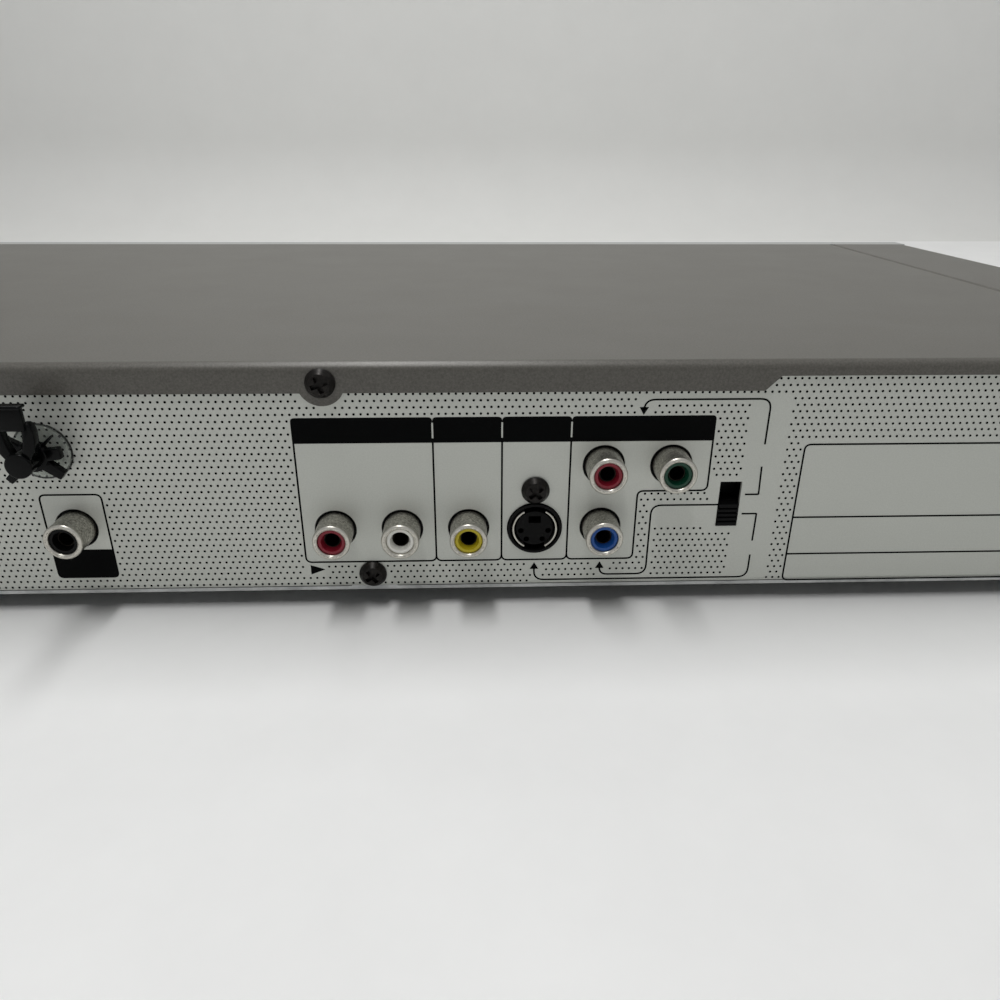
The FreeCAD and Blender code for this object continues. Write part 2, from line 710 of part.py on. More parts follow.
def jack_block(x0, x1, z1, places):
    """Moulded housing behind the panel, standing on the board and bored for its barrels."""
    y0, y1 = panel_back - block_depth, panel_back
    body = box(x0, x1, y0, y1, board_top, z1)
    bores = []
    for x, z in places:
        bores.append(rod(x, panel_back - 4, z, barrel_root + fit, 5, Y_AXIS))
        bores.append(rod(x, y0 + 2, z, barrel_bore - fit, block_depth, Y_AXIS))
    return body.cut(bores)


def make_audio_jack_block():
    """Three-way housing of the red, white and yellow jacks."""
    places = [(x, low_row) for x in audio_xs]
    return jack_block(audio_xs[2] - block_half, audio_xs[0] + block_half, low_row + 6.2, places)


def make_component_jack_block():
    """Two-storey housing of the component jacks, with a foot under its outer jack."""
    places = [(component_x, low_row), (component_x, high_row), (green_x, high_row)]
    body = jack_block(green_x - block_half, component_x + block_half, high_row + 6.2, places)
    notch = box(green_x - block_half - 1, component_x - block_half, panel_back - block_depth - 1,
                panel_back - 3, board_top + 4, high_row - block_half)
    return body.cut(notch)


def make_coaxial_jack_block():
    """Single housing of the coaxial digital jack."""
    return jack_block(coax_x - block_half, coax_x + block_half, coax_z + 6.2, [(coax_x, coax_z)])


def make_jack_shells():
    """Turned barrels of the jacks, each with a rolled lip."""
    shells = []
    start = panel_back - 4 - rear
    for x, z in jack_places:
        profile = [(barrel_bore, start), (barrel_root, start), (barrel_root, 0),
                   (barrel_radius, 0), (barrel_radius, jack_reach - 0.5),
                   (barrel_radius - 0.25, jack_reach - 0.1), (barrel_radius - 0.5, jack_reach),
                   (barrel_bore + 0.2, jack_reach), (barrel_bore, jack_reach - 0.3)]
        shells.append(spun(profile, x, rear, z, out=True))
    return Part.makeCompound(shells)


def make_insert(colour):
    """Coloured insulator inside each barrel of one colour, bored for the plug's pin."""
    start = panel_back - block_depth + 2 - rear
    outer = barrel_bore - fit
    end = jack_reach - insert_recess
    inserts = []
    for x, z in jacks[colour]:
        profile = [(0, start), (outer, start), (outer, end - 0.2), (outer - 0.2, end), (funnel_radius, end),
                   (pin_bore, end - funnel_depth), (pin_bore, end - pin_depth), (0, end - pin_depth)]
        inserts.append(spun(profile, x, rear, z, out=True))
    return Part.makeCompound(inserts) if len(inserts) > 1 else inserts[0]


def make_svideo_socket():
    """Round four-pin socket: square body with a screw ear, and a pierced round face."""
    half = 6.8
    y0, y1 = panel_back - block_depth, panel_back
    body = box(svideo_x - half, svideo_x + half, y0, y1, board_top, svideo_screw[1] + 4)
    face = rod(svideo_x, panel_back, svideo_z, 5.7, sheet + 0.6, Y_AXIS)
    body = join([body, face])
    mouth = rear + 0.6
    cuts = [rod(svideo_x, mouth - 0.5, svideo_z, 4.6, 2, Y_AXIS),
            ring(svideo_x, svideo_z, 3.9, 5.1 + fit, mouth - 4, mouth + 1)]
    for dx, dz in ((-2.9, -0.6), (2.9, -0.6), (-1.7, -2.6), (1.7, -2.6)):
        cuts.append(rod(svideo_x + dx, mouth - 5, svideo_z + dz, 0.6, 6, Y_AXIS))
    cuts.append(box(svideo_x - 1.3, svideo_x + 1.3, mouth - 5, mouth + 1, svideo_z + 1.2, svideo_z + 2.8))
    x, z = svideo_screw
    cuts.append(rod(x, y0 + 2, z, screw_shank + fit, block_depth, Y_AXIS))
    return body.cut(cuts)


def ring(x, z, inner, outer, y0, y1):
    """A tube along Y."""
    return rod(x, y0, z, outer, y1 - y0, Y_AXIS).cut(rod(x, y0 - 1, z, inner, y1 - y0 + 2, Y_AXIS))


def make_svideo_shield():
    """Thin plated sleeve of the round socket, slit above and below."""
    mouth = rear + 0.6
    sleeve = ring(svideo_x, svideo_z, 4.75, 5.1, mouth - 3.9, mouth + 0.15)
    slit = box(svideo_x - 1.0, svideo_x + 1.0, mouth - 2.4, mouth + 1, svideo_z - 6, svideo_z + 6)
    return sleeve.cut(slit)


def make_switch_body():
    """Plastic housing of the slide switch, open towards the slot in the panel."""
    y0, y1 = panel_back - 6.5, panel_back
    body = box(switch_x - 4.4, switch_x + 4.4, y0, y1, board_top, switch_z + switch_slot + 3)
    cavity = box(switch_x - 2.7, switch_x + 2.7, panel_back - 4.2, panel_back + 1,
                 switch_z - 0.6, switch_z + switch_slot + 0.6)
    return body.cut(cavity)


def make_switch_slider():
    """Ribbed knob on a wider sole that keeps it behind the panel."""
    z0 = switch_z + 0.15
    z1 = z0 + knob_height
    sole = box(switch_x - 2.45, switch_x + 2.45, panel_back - 4.0, panel_back - 0.2, z0 - 0.3, z1 + 0.3)
    knob = box(switch_x - knob_half, switch_x + knob_half, panel_back - 1, rear + 0.3, z0, z1)
    body = join([sole, knob])
    grooves = []
    pitch = knob_height / 5
    for k in range(1, 5):
        z = z0 + k * pitch
        grooves.append(prism_x([(rear + 0.4, z - 0.3), (rear - 0.2, z), (rear + 0.4, z + 0.3)],
                               switch_x - 3, switch_x + 3))
    return body.cut(grooves)


def make_mains_inlet():
    """Snap-in two-pole inlet with a figure-of-eight mouth."""
    flange = box(inlet_x - 12, inlet_x + 12, rear, rear + 1.6, inlet_z - 8, inlet_z + 8)
    flange = flange.makeFillet(1.5, [e for e in flange.Edges if is_along(e, Y_AXIS)])
    shell = box(inlet_x - 10, inlet_x + 10, rear - inlet_depth - 4, rear, inlet_z - 6.5, inlet_z + 6.5)
    mouth = stadium(inlet_x, inlet_z, inlet_half, inlet_radius, rear + 1.6 - inlet_depth, rear + 3)
    body = join([flange, shell]).cut(mouth)
    holes = []
    for sx in (-1, 1):
        holes.append(rod(inlet_x + sx * pin_spacing / 2, rear - inlet_depth - 5, inlet_z,
                         mains_pin, 8, Y_AXIS))
    return body.cut(holes)


def is_along(edge, axis):
    """True for a straight edge that runs along an axis."""
    ends = edge.Vertexes
    if len(ends) < 2:
        return False
    way = ends[1].Point.sub(ends[0].Point)
    return abs(abs(way.normalize().dot(axis)) - 1) < 1e-6


def make_inlet_pins():
    """Two round contact pins, each with a solder tail."""
    pins = []
    for sx in (-1, 1):
        x = inlet_x + sx * pin_spacing / 2
        pins.append(rod(x, rear - inlet_depth - 7, inlet_z, mains_pin, inlet_depth + 2, Y_AXIS))
    return Part.makeCompound(pins)


# Cable clip that is stuck to the rear panel by a suction cup
cup_x = 56.5
cup_z = 37.2
cup_neck = 1.9
cup_radius = 5.9
hub_out = 9.6


def make_clip_cup():
    """Clear suction cup: thin skirt on the panel, dome and neck."""
    profile = [(0, 0.6), (cup_radius - 1.2, 0.3), (cup_radius - 0.6, 0), (cup_radius, 0),
               (cup_radius - 0.3, 0.7), (3.2, 1.9), (cup_neck, 2.4), (cup_neck, hub_out - 0.5),
               (0, hub_out - 0.5)]
    return spun(profile, cup_x, rear, cup_z, out=True)


def leg(angle, length, width, out0, out1):
    """A flat prong that leaves the clip's collar at an angle in degrees from +X."""
    bar = box(cup_neck + 0.4, length, -width / 2, width / 2, 0, out1 - out0)
    bar = bar.makeFillet(width * 0.3, [e for e in bar.Edges
                                       if is_along(e, Z_AXIS) and e.BoundBox.XMax > length - 0.1])
    bar.Placement = FreeCAD.Placement(V(cup_x, rear + out0, cup_z), FreeCAD.Rotation(X_AXIS, -90))
    bar.rotate(V(cup_x, rear, cup_z), Y_AXIS, -angle)
    return bar


def make_cable_clip():
    """Nylon clip pushed over the cup's neck: sleeve and cap, splayed prongs, and a yoke with a crossbar."""
    bore = cup_neck + fit
    collar = ring(cup_x, cup_z, bore, 3.2, rear + 2.6, rear + 4.6)
    sleeve = ring(cup_x, cup_z, bore, cup_neck + 0.6, rear + 4.0, rear + hub_out - 0.3)
    cap = rod(cup_x, rear + hub_out - 0.5 + fit, cup_z, cup_neck + 0.6, 0.7, Y_AXIS)
    prongs = [leg(175, 6.3, 2.5, 2.8, 4.6), leg(217, 7.2, 2.0, 2.8, 4.6), leg(135, 5.4, 1.0, 2.8, 3.8),
              leg(314, 6.3, 1.8, 4.3, 5.6), leg(32, 7.6, 2.8, 3.0, 4.4)]
    yoke = prism_y([(cup_x - 2.0, cup_z - 0.5), (cup_x - 4.2, cup_z + 3.0), (cup_x - 4.2, cup_z + 5.8),
                    "arc", (cup_x - 3.7, cup_z + 7.1), (cup_x - 2.4, cup_z + 7.6),
                    (cup_x + 3.3, cup_z + 7.6), "arc", (cup_x + 4.6, cup_z + 7.1),
                    (cup_x + 5.1, cup_z + 5.8), (cup_x + 5.1, cup_z + 3.0), (cup_x + 2.0, cup_z - 0.5)],
                   rear + 6.2, rear + 8.8)
    for low, high in ((2.9, 4.1), (4.9, 7.0)):
        yoke = yoke.cut(box(cup_x - 1.1, cup_x + 2.0, rear + 5, rear + 10, cup_z + low, cup_z + high))
    yoke = yoke.cut(rod(cup_x, rear + 5, cup_z, bore, 5, Y_AXIS))
    head = box(cup_x - 2.7, cup_x + 3.6, rear + 5.4, rear + 9.8, cup_z + 7.0, cup_z + 12.4)
    head = head.makeFillet(1.2, [e for e in head.Edges if is_along(e, X_AXIS)])
    return join([collar, sleeve, cap] + prongs + [yoke, head])


def make_main_board():
    """Signal board along the rear, carrying the sockets, with a notch round the chassis tab."""
    body = box(*main_board_x, *main_board_y, board_low, board_top)
    holes = [rod(x, y, board_low - 1, screw_shank + fit, 4) for x, y in main_posts]
    return body.cut(holes)


def make_power_board():
    """Mains board with a routed isolation slot."""
    body = box(*power_board_x, *power_board_y, board_low, board_top)
    slot_x = power_board_x[0] + 48
    slot = box(slot_x, slot_x + 2, power_board_y[0] + 12, power_board_y[1] - 52, board_low - 1, board_top + 1)
    holes = [rod(x, y, board_low - 1, screw_shank + fit, 4) for x, y in power_posts]
    return body.cut([slot] + holes)


def make_board_chips():
    """Flat packages on the signal board: decoder, memory and converters."""
    chips = []
    y = main_board_y[0] + 12.5
    for x, size, high in chip_places:
        half = size / 2
        chip = box(x - half, x + half, y - half, y + half, board_top, board_top + high)
        chips.append(chip.makeChamfer(0.4, [e for e in chip.Edges if is_along(e, Z_AXIS)]))
    return Part.makeCompound(chips)


def make_capacitors():
    """Upright can capacitors on both boards, each crimped near its foot."""
    x0, y0 = power_board_x[0], power_board_y[0]
    places = [(main_board_x[1] - 26, main_board_y[0] + 8, 4.0, 11.0),
              (main_board_x[1] - 26, main_board_y[0] + 19, 3.15, 9.0),
              (main_board_x[0] + 14, main_board_y[0] + 16, 3.15, 9.0),
              (x0 + 21, power_board_y[1] - 34, 9.0, 30.0), (x0 + 21, y0 + 16, 6.3, 20.0),
              (x0 + 63, y0 + 14, 5.0, 20.0), (x0 + 76, y0 + 14, 5.0, 20.0), (x0 + 63, y0 + 28, 4.0, 14.0)]
    cans = []
    for x, y, radius, high in places:
        neck = 0.9 * radius
        profile = [(0, 0), (radius, 0), (radius, 1.2), (neck, 1.8), (radius, 2.4), (radius, high), (0, high)]
        cans.append(spun(profile, x, y, board_top))
    return Part.makeCompound(cans)


def make_power_transformer():
    """Switching transformer: wound bobbin between two ferrite halves."""
    x, y, z = power_board_x[0] + 49, power_board_y[0] + 60, board_top
    core = box(x - 14, x + 14, y - 6, y + 6, z + 3, z + 25)
    core = core.cut([box(x - 9, x + 9, y - 7, y + 7, z + 8, z + 20)])
    winding = box(x - 8.5, x + 8.5, y - 12, y + 12, z + 8.5, z + 19.5)
    winding = winding.makeFillet(3.0, [e for e in winding.Edges if is_along(e, X_AXIS)])
    base = box(x - 12, x + 12, y - 11, y + 11, z, z + 3)
    foot = box(x - 8.5, x + 8.5, y - 11, y - 6.2, z + 2, z + 10)
    return join([base, foot, winding, core])


def make_heat_sink():
    """Aluminium extrusion with fins, for the regulators."""
    x, y, z = power_board_x[0] + 86, power_board_y[0] + 82, board_top
    parts = [box(x - 20, x + 20, y, y + 2, z, z + 26)]
    for k in range(6):
        fx = x - 20 + k * 7.6
        parts.append(box(fx, fx + 2, y + 2, y + 14, z, z + 26))
    return join(parts)


def make_ribbon_cable():
    """Flat cable from the power board to the signal board, with a connector at each end."""
    y = main_board_y[0] + 11.5
    x0, x1 = main_board_x[1] - 14, power_board_x[0] + 5
    high = board_top + 7
    ends = [box(x - 2.5, x + 2.5, y - 9, y + 9, board_top, board_top + 5) for x in (x0, x1)]
    rise = 0.45 * (x1 - x0) / 2
    strip = prism_y([(x0, board_top + 5), (x0, high), "arc", (x0 + 0.3 * rise, high + 0.7 * rise),
                     (x0 + rise, high + rise), (x1 - rise, high + rise),
                     "arc", (x1 - 0.3 * rise, high + 0.7 * rise), (x1, high), (x1, board_top + 5),
                     (x1 - 0.5, board_top + 5), (x1 - 0.5, high),
                     "arc", (x1 - 0.3 * rise - 0.5, high + 0.7 * rise - 0.5),
                     (x1 - rise, high + rise - 0.5), (x0 + rise, high + rise - 0.5),
                     "arc", (x0 + 0.3 * rise + 0.5, high + 0.7 * rise - 0.5),
                     (x0 + 0.5, high), (x0 + 0.5, board_top + 5)], y - 8, y + 8)
    return Part.makeCompound([join([ends[0], strip, ends[1]])])


def make_black_screws():
    """Black screws of the case: rear lip, rear panel, round socket and cover sides."""
    screws = [screw(lip_screw[0], rear + sheet, lip_screw[1], Y_AXIS, 20),
              screw(tab_screw[0], rear, tab_screw[1], Y_AXIS, 35),
              screw(svideo_screw[0], rear, svideo_screw[1], Y_AXIS, 40)]
    for y, z in side_screws:
        screws.append(screw(side, y, z, X_AXIS))
        screws.append(screw(-side, y, z, -X_AXIS))
    return Part.makeCompound(screws)


def make_inner_screws():
    """Plated screws of the boards and the loader."""
    screws = [screw(x, y, board_top, Z_AXIS) for x, y in main_posts + power_posts]
    screws += [screw(x, y, loader_z + 2.5, Z_AXIS) for x, y in ear_places]
    back = front_board_y + board_thick
    screws += [screw(x, back, z, Y_AXIS) for x, z in board_bosses + power_bosses]
    return Part.makeCompound(screws)


def make_loader_frame():
    """Moulded frame: walls with tray ledges and hold-down tabs, gear deck, cam guide, hinge lugs."""
    x, parts = loader_x, []
    ledge_top = rail_z - guide_gap
    hinge_span = traverse_half + 10
    for sx in (-1, 1):
        def across(a, b, *rest, sx=sx):
            x0, x1 = sorted((x + sx * a, x + sx * b))
            return box(x0, x1, *rest)
        parts.append(across(inner_half, outer_half, loader_y, loader_back, loader_z, loader_top))
        parts.append(across(tray_half - 3.5, inner_half, loader_y, loader_back, ledge_top - 2, ledge_top))
        parts.append(across(inner_half - base_rail, inner_half, loader_y, loader_back,
                            loader_z, loader_z + 2.5))
        for y in (loader_y, loader_y + 50, loader_back - 40):
            parts.append(across(tray_half - 4, inner_half, y, y + 12,
                                tray_top + guide_gap, loader_top))
        parts.append(across(traverse_half + 2, inner_half - base_rail + 1, hinge_y - 5, hinge_y + 5,
                            loader_z, hinge_z + 5))
        for y in ear_ys:
            parts.append(across(outer_half - 1, ear_offset + 3.5, y - 4.5, y + 4.5,
                                loader_z, loader_z + 2.5))
    parts.append(box(x - inner_half, x + inner_half, loader_y, loader_y + deck_depth, deck_z, deck_top))
    parts.append(box(x - inner_half, x + inner_half, loader_back - 2.5, loader_back,
                     loader_z, ledge_top))
    bar_y0, bar_y1 = cam_y - 1.5, cam_y + cam_thick + 1.5
    parts.append(box(x - inner_half, x + inner_half, bar_y0, bar_y1, loader_z - 2.4, loader_z + 0.0))
    for y0, y1 in ((bar_y0, cam_y - cam_clear), (cam_y + cam_thick + cam_clear, bar_y1)):
        parts.append(box(x - inner_half, x + inner_half, y0, y1, loader_z - 1, loader_z + 1.5))
    parts.append(rod(tray_gear_x, gear_post_y, deck_z, 2.0, tray_z - 0.4 - deck_z))
    parts.append(rod(pulley_x, gear_post_y, deck_z, 1.5, 11.6))
    body = join(parts)
    cuts = [rod(motor_x, gear_post_y, deck_z - 1, 3.0 + fit, deck_thick + 2)]
    cuts.append(rod(x - hinge_span, hinge_y, hinge_z, hinge_radius + running, 2 * hinge_span, X_AXIS))
    for px, py in ear_places:
        cuts.append(rod(px, py, loader_z - 1, screw_shank + fit, 5))
    return body.cut(cuts)


def make_clamp_bridge():
    """Pressed steel bridge over the tray, folded down at both ends, with the clamper's hole."""
    x, y = loader_x, disc_y
    high = loader_top + bridge_thick
    parts = [box(x - outer_half - 1.2, x + outer_half + 1.2, y - bridge_half, y + bridge_half,
                 loader_top, high)]
    for sx in (-1, 1):
        x0, x1 = sorted((x + sx * outer_half, x + sx * (outer_half + bridge_thick)))
        parts.append(box(x0, x1, y - 10, y + 10, loader_top - 12, high))
    rib_span = outer_half - 14
    for dy in (-bridge_half, bridge_half - bridge_thick):
        parts.append(box(x - rib_span, x + rib_span, y + dy, y + dy + bridge_thick, loader_top, high + 2))
    return join(parts).cut(rod(x, y, loader_top - 1, clamper_neck + 0.8, bridge_thick + 2))


def make_clamper():
    """Magnetic puck: wide cap that hangs on the bridge, neck, and a ring that presses the disc."""
    base = disc_plane + 1.5
    neck_z = loader_top - 0.6
    cap_z = loader_top + bridge_thick + guide_gap
    profile = [(boss_radius + 0.8, base), (clamper_radius - 1, base), (clamper_radius - 1, base + 1.4),
               (clamper_neck, neck_z), (clamper_neck, cap_z), (clamper_radius, cap_z),
               (clamper_radius, cap_z + 1.0), (clamper_radius - 5, cap_z + 2.2), (0, cap_z + 2.2),
               (0, base + 1.7), (boss_radius + 0.8, base + 1.7)]
    return spun(profile, loader_x, disc_y)


def make_disc_tray():
    """Tray with two disc steps, a slot for the spindle and pickup, side rails and a rack below."""
    x, y = loader_x, disc_y
    y0, y1 = tray_y, tray_back
    body = box(x - tray_half, x + tray_half, y0, y1, tray_z, tray_top)
    big, small = disc_radius + recess_margin, small_disc_radius + recess_margin
    hollow = box(x - tray_half + skin, x + tray_half - skin, y0 + skin, y1 - skin,
                 tray_z - 1, tray_top - skin)
    hollow = hollow.cut(rod(x, y, tray_z - 1, big + skin, 20))
    shallow = rod(x, y, tray_z - 1, big + skin, 1 + tray_floor - skin)
    shallow = shallow.cut(rod(x, y, tray_z - 2, small + skin, 20))
    shallow = shallow.common(box(x - tray_half + skin, x + tray_half - skin, y0 + skin, y1 - skin,
                                 tray_z - 2, tray_top))
    cuts = [hollow, shallow, rod(x, y, disc_floor, big, 10), rod(x, y, disc_floor - 1.2, small, 10)]
    cuts.append(rod(x, y, tray_z - 5, slot_half, 20))
    cuts.append(box(x - slot_half, x + slot_half, y, y1 + 1, tray_z - 5, tray_top + 1))
    for sx in (-1, 1):
        cuts.append(rod(x + sx * (big - 2), y, disc_floor - 0.6, 11.0, 10))
    body = body.cut(cuts)
    adds = []
    for sx in (-1, 1):
        x0, x1 = sorted((x + sx * (tray_half - skin - 1), x + sx * tray_half))
        adds.append(box(x0, x1, y0 + 4, y1, rail_z, tray_z + 1))
    rack_end = gear_post_y + tray_travel + 1.5
    adds.append(rack(rack_x, gear_post_y, y0 + 6, rack_end, rack_z, tray_z + tray_floor - skin + 0.4,
                     rack_module, rack_x - 3.5))
    return join([body] + adds)


def make_tray_door():
    """Front cap of the tray, flush with the front face, with two hooks into the tray."""
    half = door_width / 2
    plate = box(loader_x - half, loader_x + half, front, front + door_thick, door_z, door_top)
    plate = plate.makeChamfer(0.5, [e for e in plate.Edges if e.BoundBox.YMax < front + 0.01])
    pocket = box(loader_x - half + 2, loader_x + half - 2, front + 2, front + door_thick + 1,
                 door_z + 1.8, tray_z - 1.0)
    return plate.cut(pocket)


def make_tray_gear():
    """Two-step drive gear: large wheel below, and the gear that meshes with the tray's rack."""
    x, y = tray_gear_x, gear_post_y
    bore = 2.0 + running
    wheel = gear(x, y, deck_top + 5.4, deck_top + 8.2, wheel_module, wheel_teeth, 0, bore)
    small = gear(x, y, rack_z + 0.2, tray_z - 0.7, rack_module, rack_teeth, math.pi, bore)
    hub = rod(x, y, deck_top + 0.3, 3.0, rack_z - deck_top)
    return join([wheel, small, hub.cut(rod(x, y, deck_top, bore, 20))])


def make_pulley_gear():
    """Grooved belt pulley with the pinion that drives the large wheel."""
    x, y = pulley_x, gear_post_y
    low = deck_top + 0.3
    rim = pulley_radius + pulley_flange
    profile = [(1.5 + running, low), (rim, low), (rim, low + 1.0), (pulley_radius, low + 1.4),
               (pulley_radius, low + 3.0), (rim, low + 3.4), (rim, low + 4.2), (1.5 + running, low + 4.2)]
    phase = math.pi + math.pi / pinion_teeth
    pinion = gear(x, y, low + 4.0, deck_top + 8.4, wheel_module, pinion_teeth, phase, 1.5 + running)
    return join([spun(profile, x, y), pinion])


def make_motor_pulley():
    """Small pulley on the loading motor's shaft."""
    low = deck_top + 0.6
    rim = motor_pulley_radius + 1.3
    profile = [(0, deck_top + 0.1), (1.0, deck_top + 0.1), (1.0, low), (rim, low), (rim, low + 0.7),
               (motor_pulley_radius, low + 1.1), (motor_pulley_radius, low + 2.7), (rim, low + 3.1),
               (rim, low + 3.8), (0, low + 3.8)]
    return spun(profile, motor_x, gear_post_y)


def make_drive_belt():
    """Rubber belt round both pulleys: two arcs and their outer tangents."""
    z = deck_top + 0.3 + 1.4
    inner = belt_loop(0, z)
    return belt_loop(belt_thick, z).cut(inner)


def belt_loop(grow, z):
    """The filled outline of the belt, moved out by `grow`."""
    big = pulley_radius + belt_gap + grow
    small = motor_pulley_radius + belt_gap + grow
    lean = math.asin((big - small) / belt_span)
    sin, cos = math.sin(lean), math.cos(lean)
    y = gear_post_y
    return prism_z([(pulley_x + big * sin, y + big * cos), "arc", (pulley_x - big, y),
                    (pulley_x + big * sin, y - big * cos), (motor_x + small * sin, y - small * cos),
                    "arc", (motor_x + small, y), (motor_x + small * sin, y + small * cos)],
                   z, z + belt_height)


def make_loading_motor():
    """Flat direct-current motor hung under the gear deck."""
    profile = [(0, floor_top + 1.2), (3.0, floor_top + 1.2), (3.0, floor_top + 2.0),
               (11.0, floor_top + 2.0), (12.0, floor_top + 3.0), (12.0, deck_z - 0.8), (11.2, deck_z),
               (3.0, deck_z), (3.0, deck_top), (0, deck_top)]
    return spun(profile, motor_x, gear_post_y)


def make_cam_slider():
    """Sliding plate whose sloping slot lowers the traverse."""
    pin_x = loader_x + cam_pin_x
    run, clear = cam_travel, cam_pin_radius + cam_clear
    y0, y1 = cam_y, cam_y + cam_thick
    low = cam_pin_z - cam_lift
    plate = box(pin_x - run - 7, pin_x + 7, y0, y1, loader_z + 0.3, cam_pin_z + 4)
    lean = math.atan(cam_slope)
    dx, dz = clear * math.sin(lean), clear * math.cos(lean)
    slot = prism_y([(pin_x - dx, cam_pin_z + dz), (pin_x - run - dx, low + dz),
                    "arc", (pin_x - run - clear * math.cos(lean), low - clear * math.sin(lean)),
                    (pin_x - run + dx, low - dz), (pin_x + dx, cam_pin_z - dz),
                    "arc", (pin_x + clear * math.cos(lean), cam_pin_z + clear * math.sin(lean)),
                    (pin_x - dx, cam_pin_z + dz)], y0 - 1, y1 + 1)
    grip = box(pin_x - run - 7, pin_x - run + 5, y0 - 4.0, y0, cam_pin_z + 1.5, cam_pin_z + 4)
    return join([plate, grip]).cut(slot)


def make_traverse_frame():
    """Swinging sub-chassis: ribbed plate with hinge pins, cam pin, rod seats and gear post."""
    x, half = loader_x, traverse_half
    y0, y1 = traverse_y, traverse_back
    outer = box(x - half, x + half, y0, y1, rib_z, plate_top)
    inner = box(x - half + 2, x + half - 2, y0 + 2, y1 - 2, rib_z - 1, traverse_plate)
    parts = [outer.cut(inner)]
    for sx in (-1, 1):
        start, way = x + sx * (half - 1), X_AXIS * sx
        parts.append(rod(start, hinge_y, hinge_z, hinge_radius, 7.5, way))
        for seat_y in (sled_front - 4.5, sled_front + sled_length + sled_travel + 1.5):
            x0 = x + sx * rod_offset - 3
            parts.append(box(x0, x0 + 6, seat_y, seat_y + 4, rod_z - 2.5, plate_top + 0.5))
    parts.append(rod(x + cam_pin_x, y0 + 1, cam_pin_z, cam_pin_radius, 1 + 2 + cam_thick + 1.0, -Y_AXIS))
    parts.append(rod(feed_x, feed_y, rib_z - 0.6, 1.5, traverse_plate - rib_z + 1))
    body = join(parts)
    cuts = [rod(x, disc_y, traverse_plate - 1, spindle_can - 0.2, 5)]
    cuts.append(box(x - sled_half - 0.6, x + sled_half + 0.6, sled_front - 0.5,
                    sled_front + sled_length + sled_travel + 1.5, traverse_plate - 1, plate_top + 1))
    cuts.append(rod(feed_motor_x, feed_motor_y, traverse_plate - 1, 1.2, 5))
    for sx in (-1, 1):
        cuts.append(rod(x + sx * rod_offset, sled_front - 3.5, rod_z, rod_radius + fit / 2,
                        sled_length + sled_travel + 8, Y_AXIS))
    return body.cut(cuts)


def make_guide_rods():
    """Two ground steel rods that carry the pickup."""
    rods = []
    for sx in (-1, 1):
        rods.append(rod(loader_x + sx * rod_offset, sled_front - 3.4, rod_z, rod_radius,
                        sled_length + sled_travel + 7.6, Y_AXIS))
    return Part.makeCompound(rods)


def make_pickup_sled():
    """Die-cast pickup: body bored for one rod and forked for the other, lens tower and rack."""
    x, y0, y1 = loader_x, sled_front, sled_front + sled_length
    low, high = rod_z - 3.4, rod_z + 3.0
    body = box(x - sled_half, x + sled_half, y0, y1, low, high)
    waist = [box(x - sled_half - 1, x - sled_half + 9, y0 + 8, y1 - 8, low - 1, high + 1)]
    tower = box(x - 10, x + 10, lens_y - 9, lens_y + 9, high - 1, disc_plane - 4)
    tower = tower.makeChamfer(1.5, [e for e in tower.Edges if e.BoundBox.ZMin > disc_plane - 4.1])
    lens_ring = rod(x, lens_y, disc_plane - 5, 4.0, 2.6)
    lens = spun([(0, 0), (3.0, 0), (3.0, 0.4), (1.6, 0.9), (0, 1.05)], x, lens_y, disc_plane - 2.45)
    body = join([body.cut(waist), tower, lens_ring, lens])
    cuts = [rod(x + rod_offset, y0 - 1, rod_z, rod_radius + running, sled_length + 2, Y_AXIS)]
    fork_x = x - rod_offset
    cuts.append(box(fork_x - 4, fork_x + rod_radius + 0.1, y0 - 1, y1 + 1,
                    rod_z - rod_radius - running, rod_z + rod_radius + running))
    body = body.cut(cuts)
    teeth = rack(feed_rack_x, feed_y, feed_y - sled_travel - 5, feed_y + 5, low, low + 2.3,
                 feed_module, x + sled_half)
    return join([body, teeth])


def make_feed_gear():
    """Two-step gear between the sled's rack and the feed motor."""
    low = rod_z - 3.4
    bore = 1.5 + running
    small = gear(feed_x, feed_y, low - 0.9, low + 2.2, feed_module, feed_teeth, math.pi, bore)
    wheel = gear(feed_x, feed_y, low - 2.8, low - 0.8, feed_wheel_module, feed_wheel_teeth, feed_angle, bore)
    return join([small, wheel])


def make_feed_pinion():
    """Pinion on the feed motor's shaft."""
    low = rod_z - 3.4 - 2.8
    phase = feed_angle + math.pi + math.pi / feed_teeth
    teeth = gear(feed_motor_x, feed_motor_y, low, low + 2.0, feed_wheel_module, feed_teeth, phase, 0.5)
    return join([teeth, rod(feed_motor_x, feed_motor_y, low, 0.75, plate_top - fit - low)])


def make_feed_motor():
    """Small can motor that stands on the traverse plate."""
    profile = [(0, plate_top), (7.0, plate_top), (7.0, plate_top + 5.6), (6.4, plate_top + 6.2),
               (0, plate_top + 6.2)]
    return spun(profile, feed_motor_x, feed_motor_y)


def make_spindle_motor():
    """Spindle motor: mounting plate under the traverse and a bearing tube through it."""
    x, y = loader_x, disc_y
    profile = [(1.0 + running, traverse_plate - 1), (16.0, traverse_plate - 1), (16.0, traverse_plate),
               (spindle_can - 0.5, traverse_plate), (spindle_can - 0.5, plate_top + 1.0),
               (4.0, plate_top + 1.0), (4.0, plate_top + 4), (1.0 + running, plate_top + 4)]
    flange = box(x - 20, x + 20, traverse_y + 2 + guide_gap, sled_front - 1,
                 traverse_plate - 2, plate_top + 5)
    return spun(profile, x, y).common(flange)


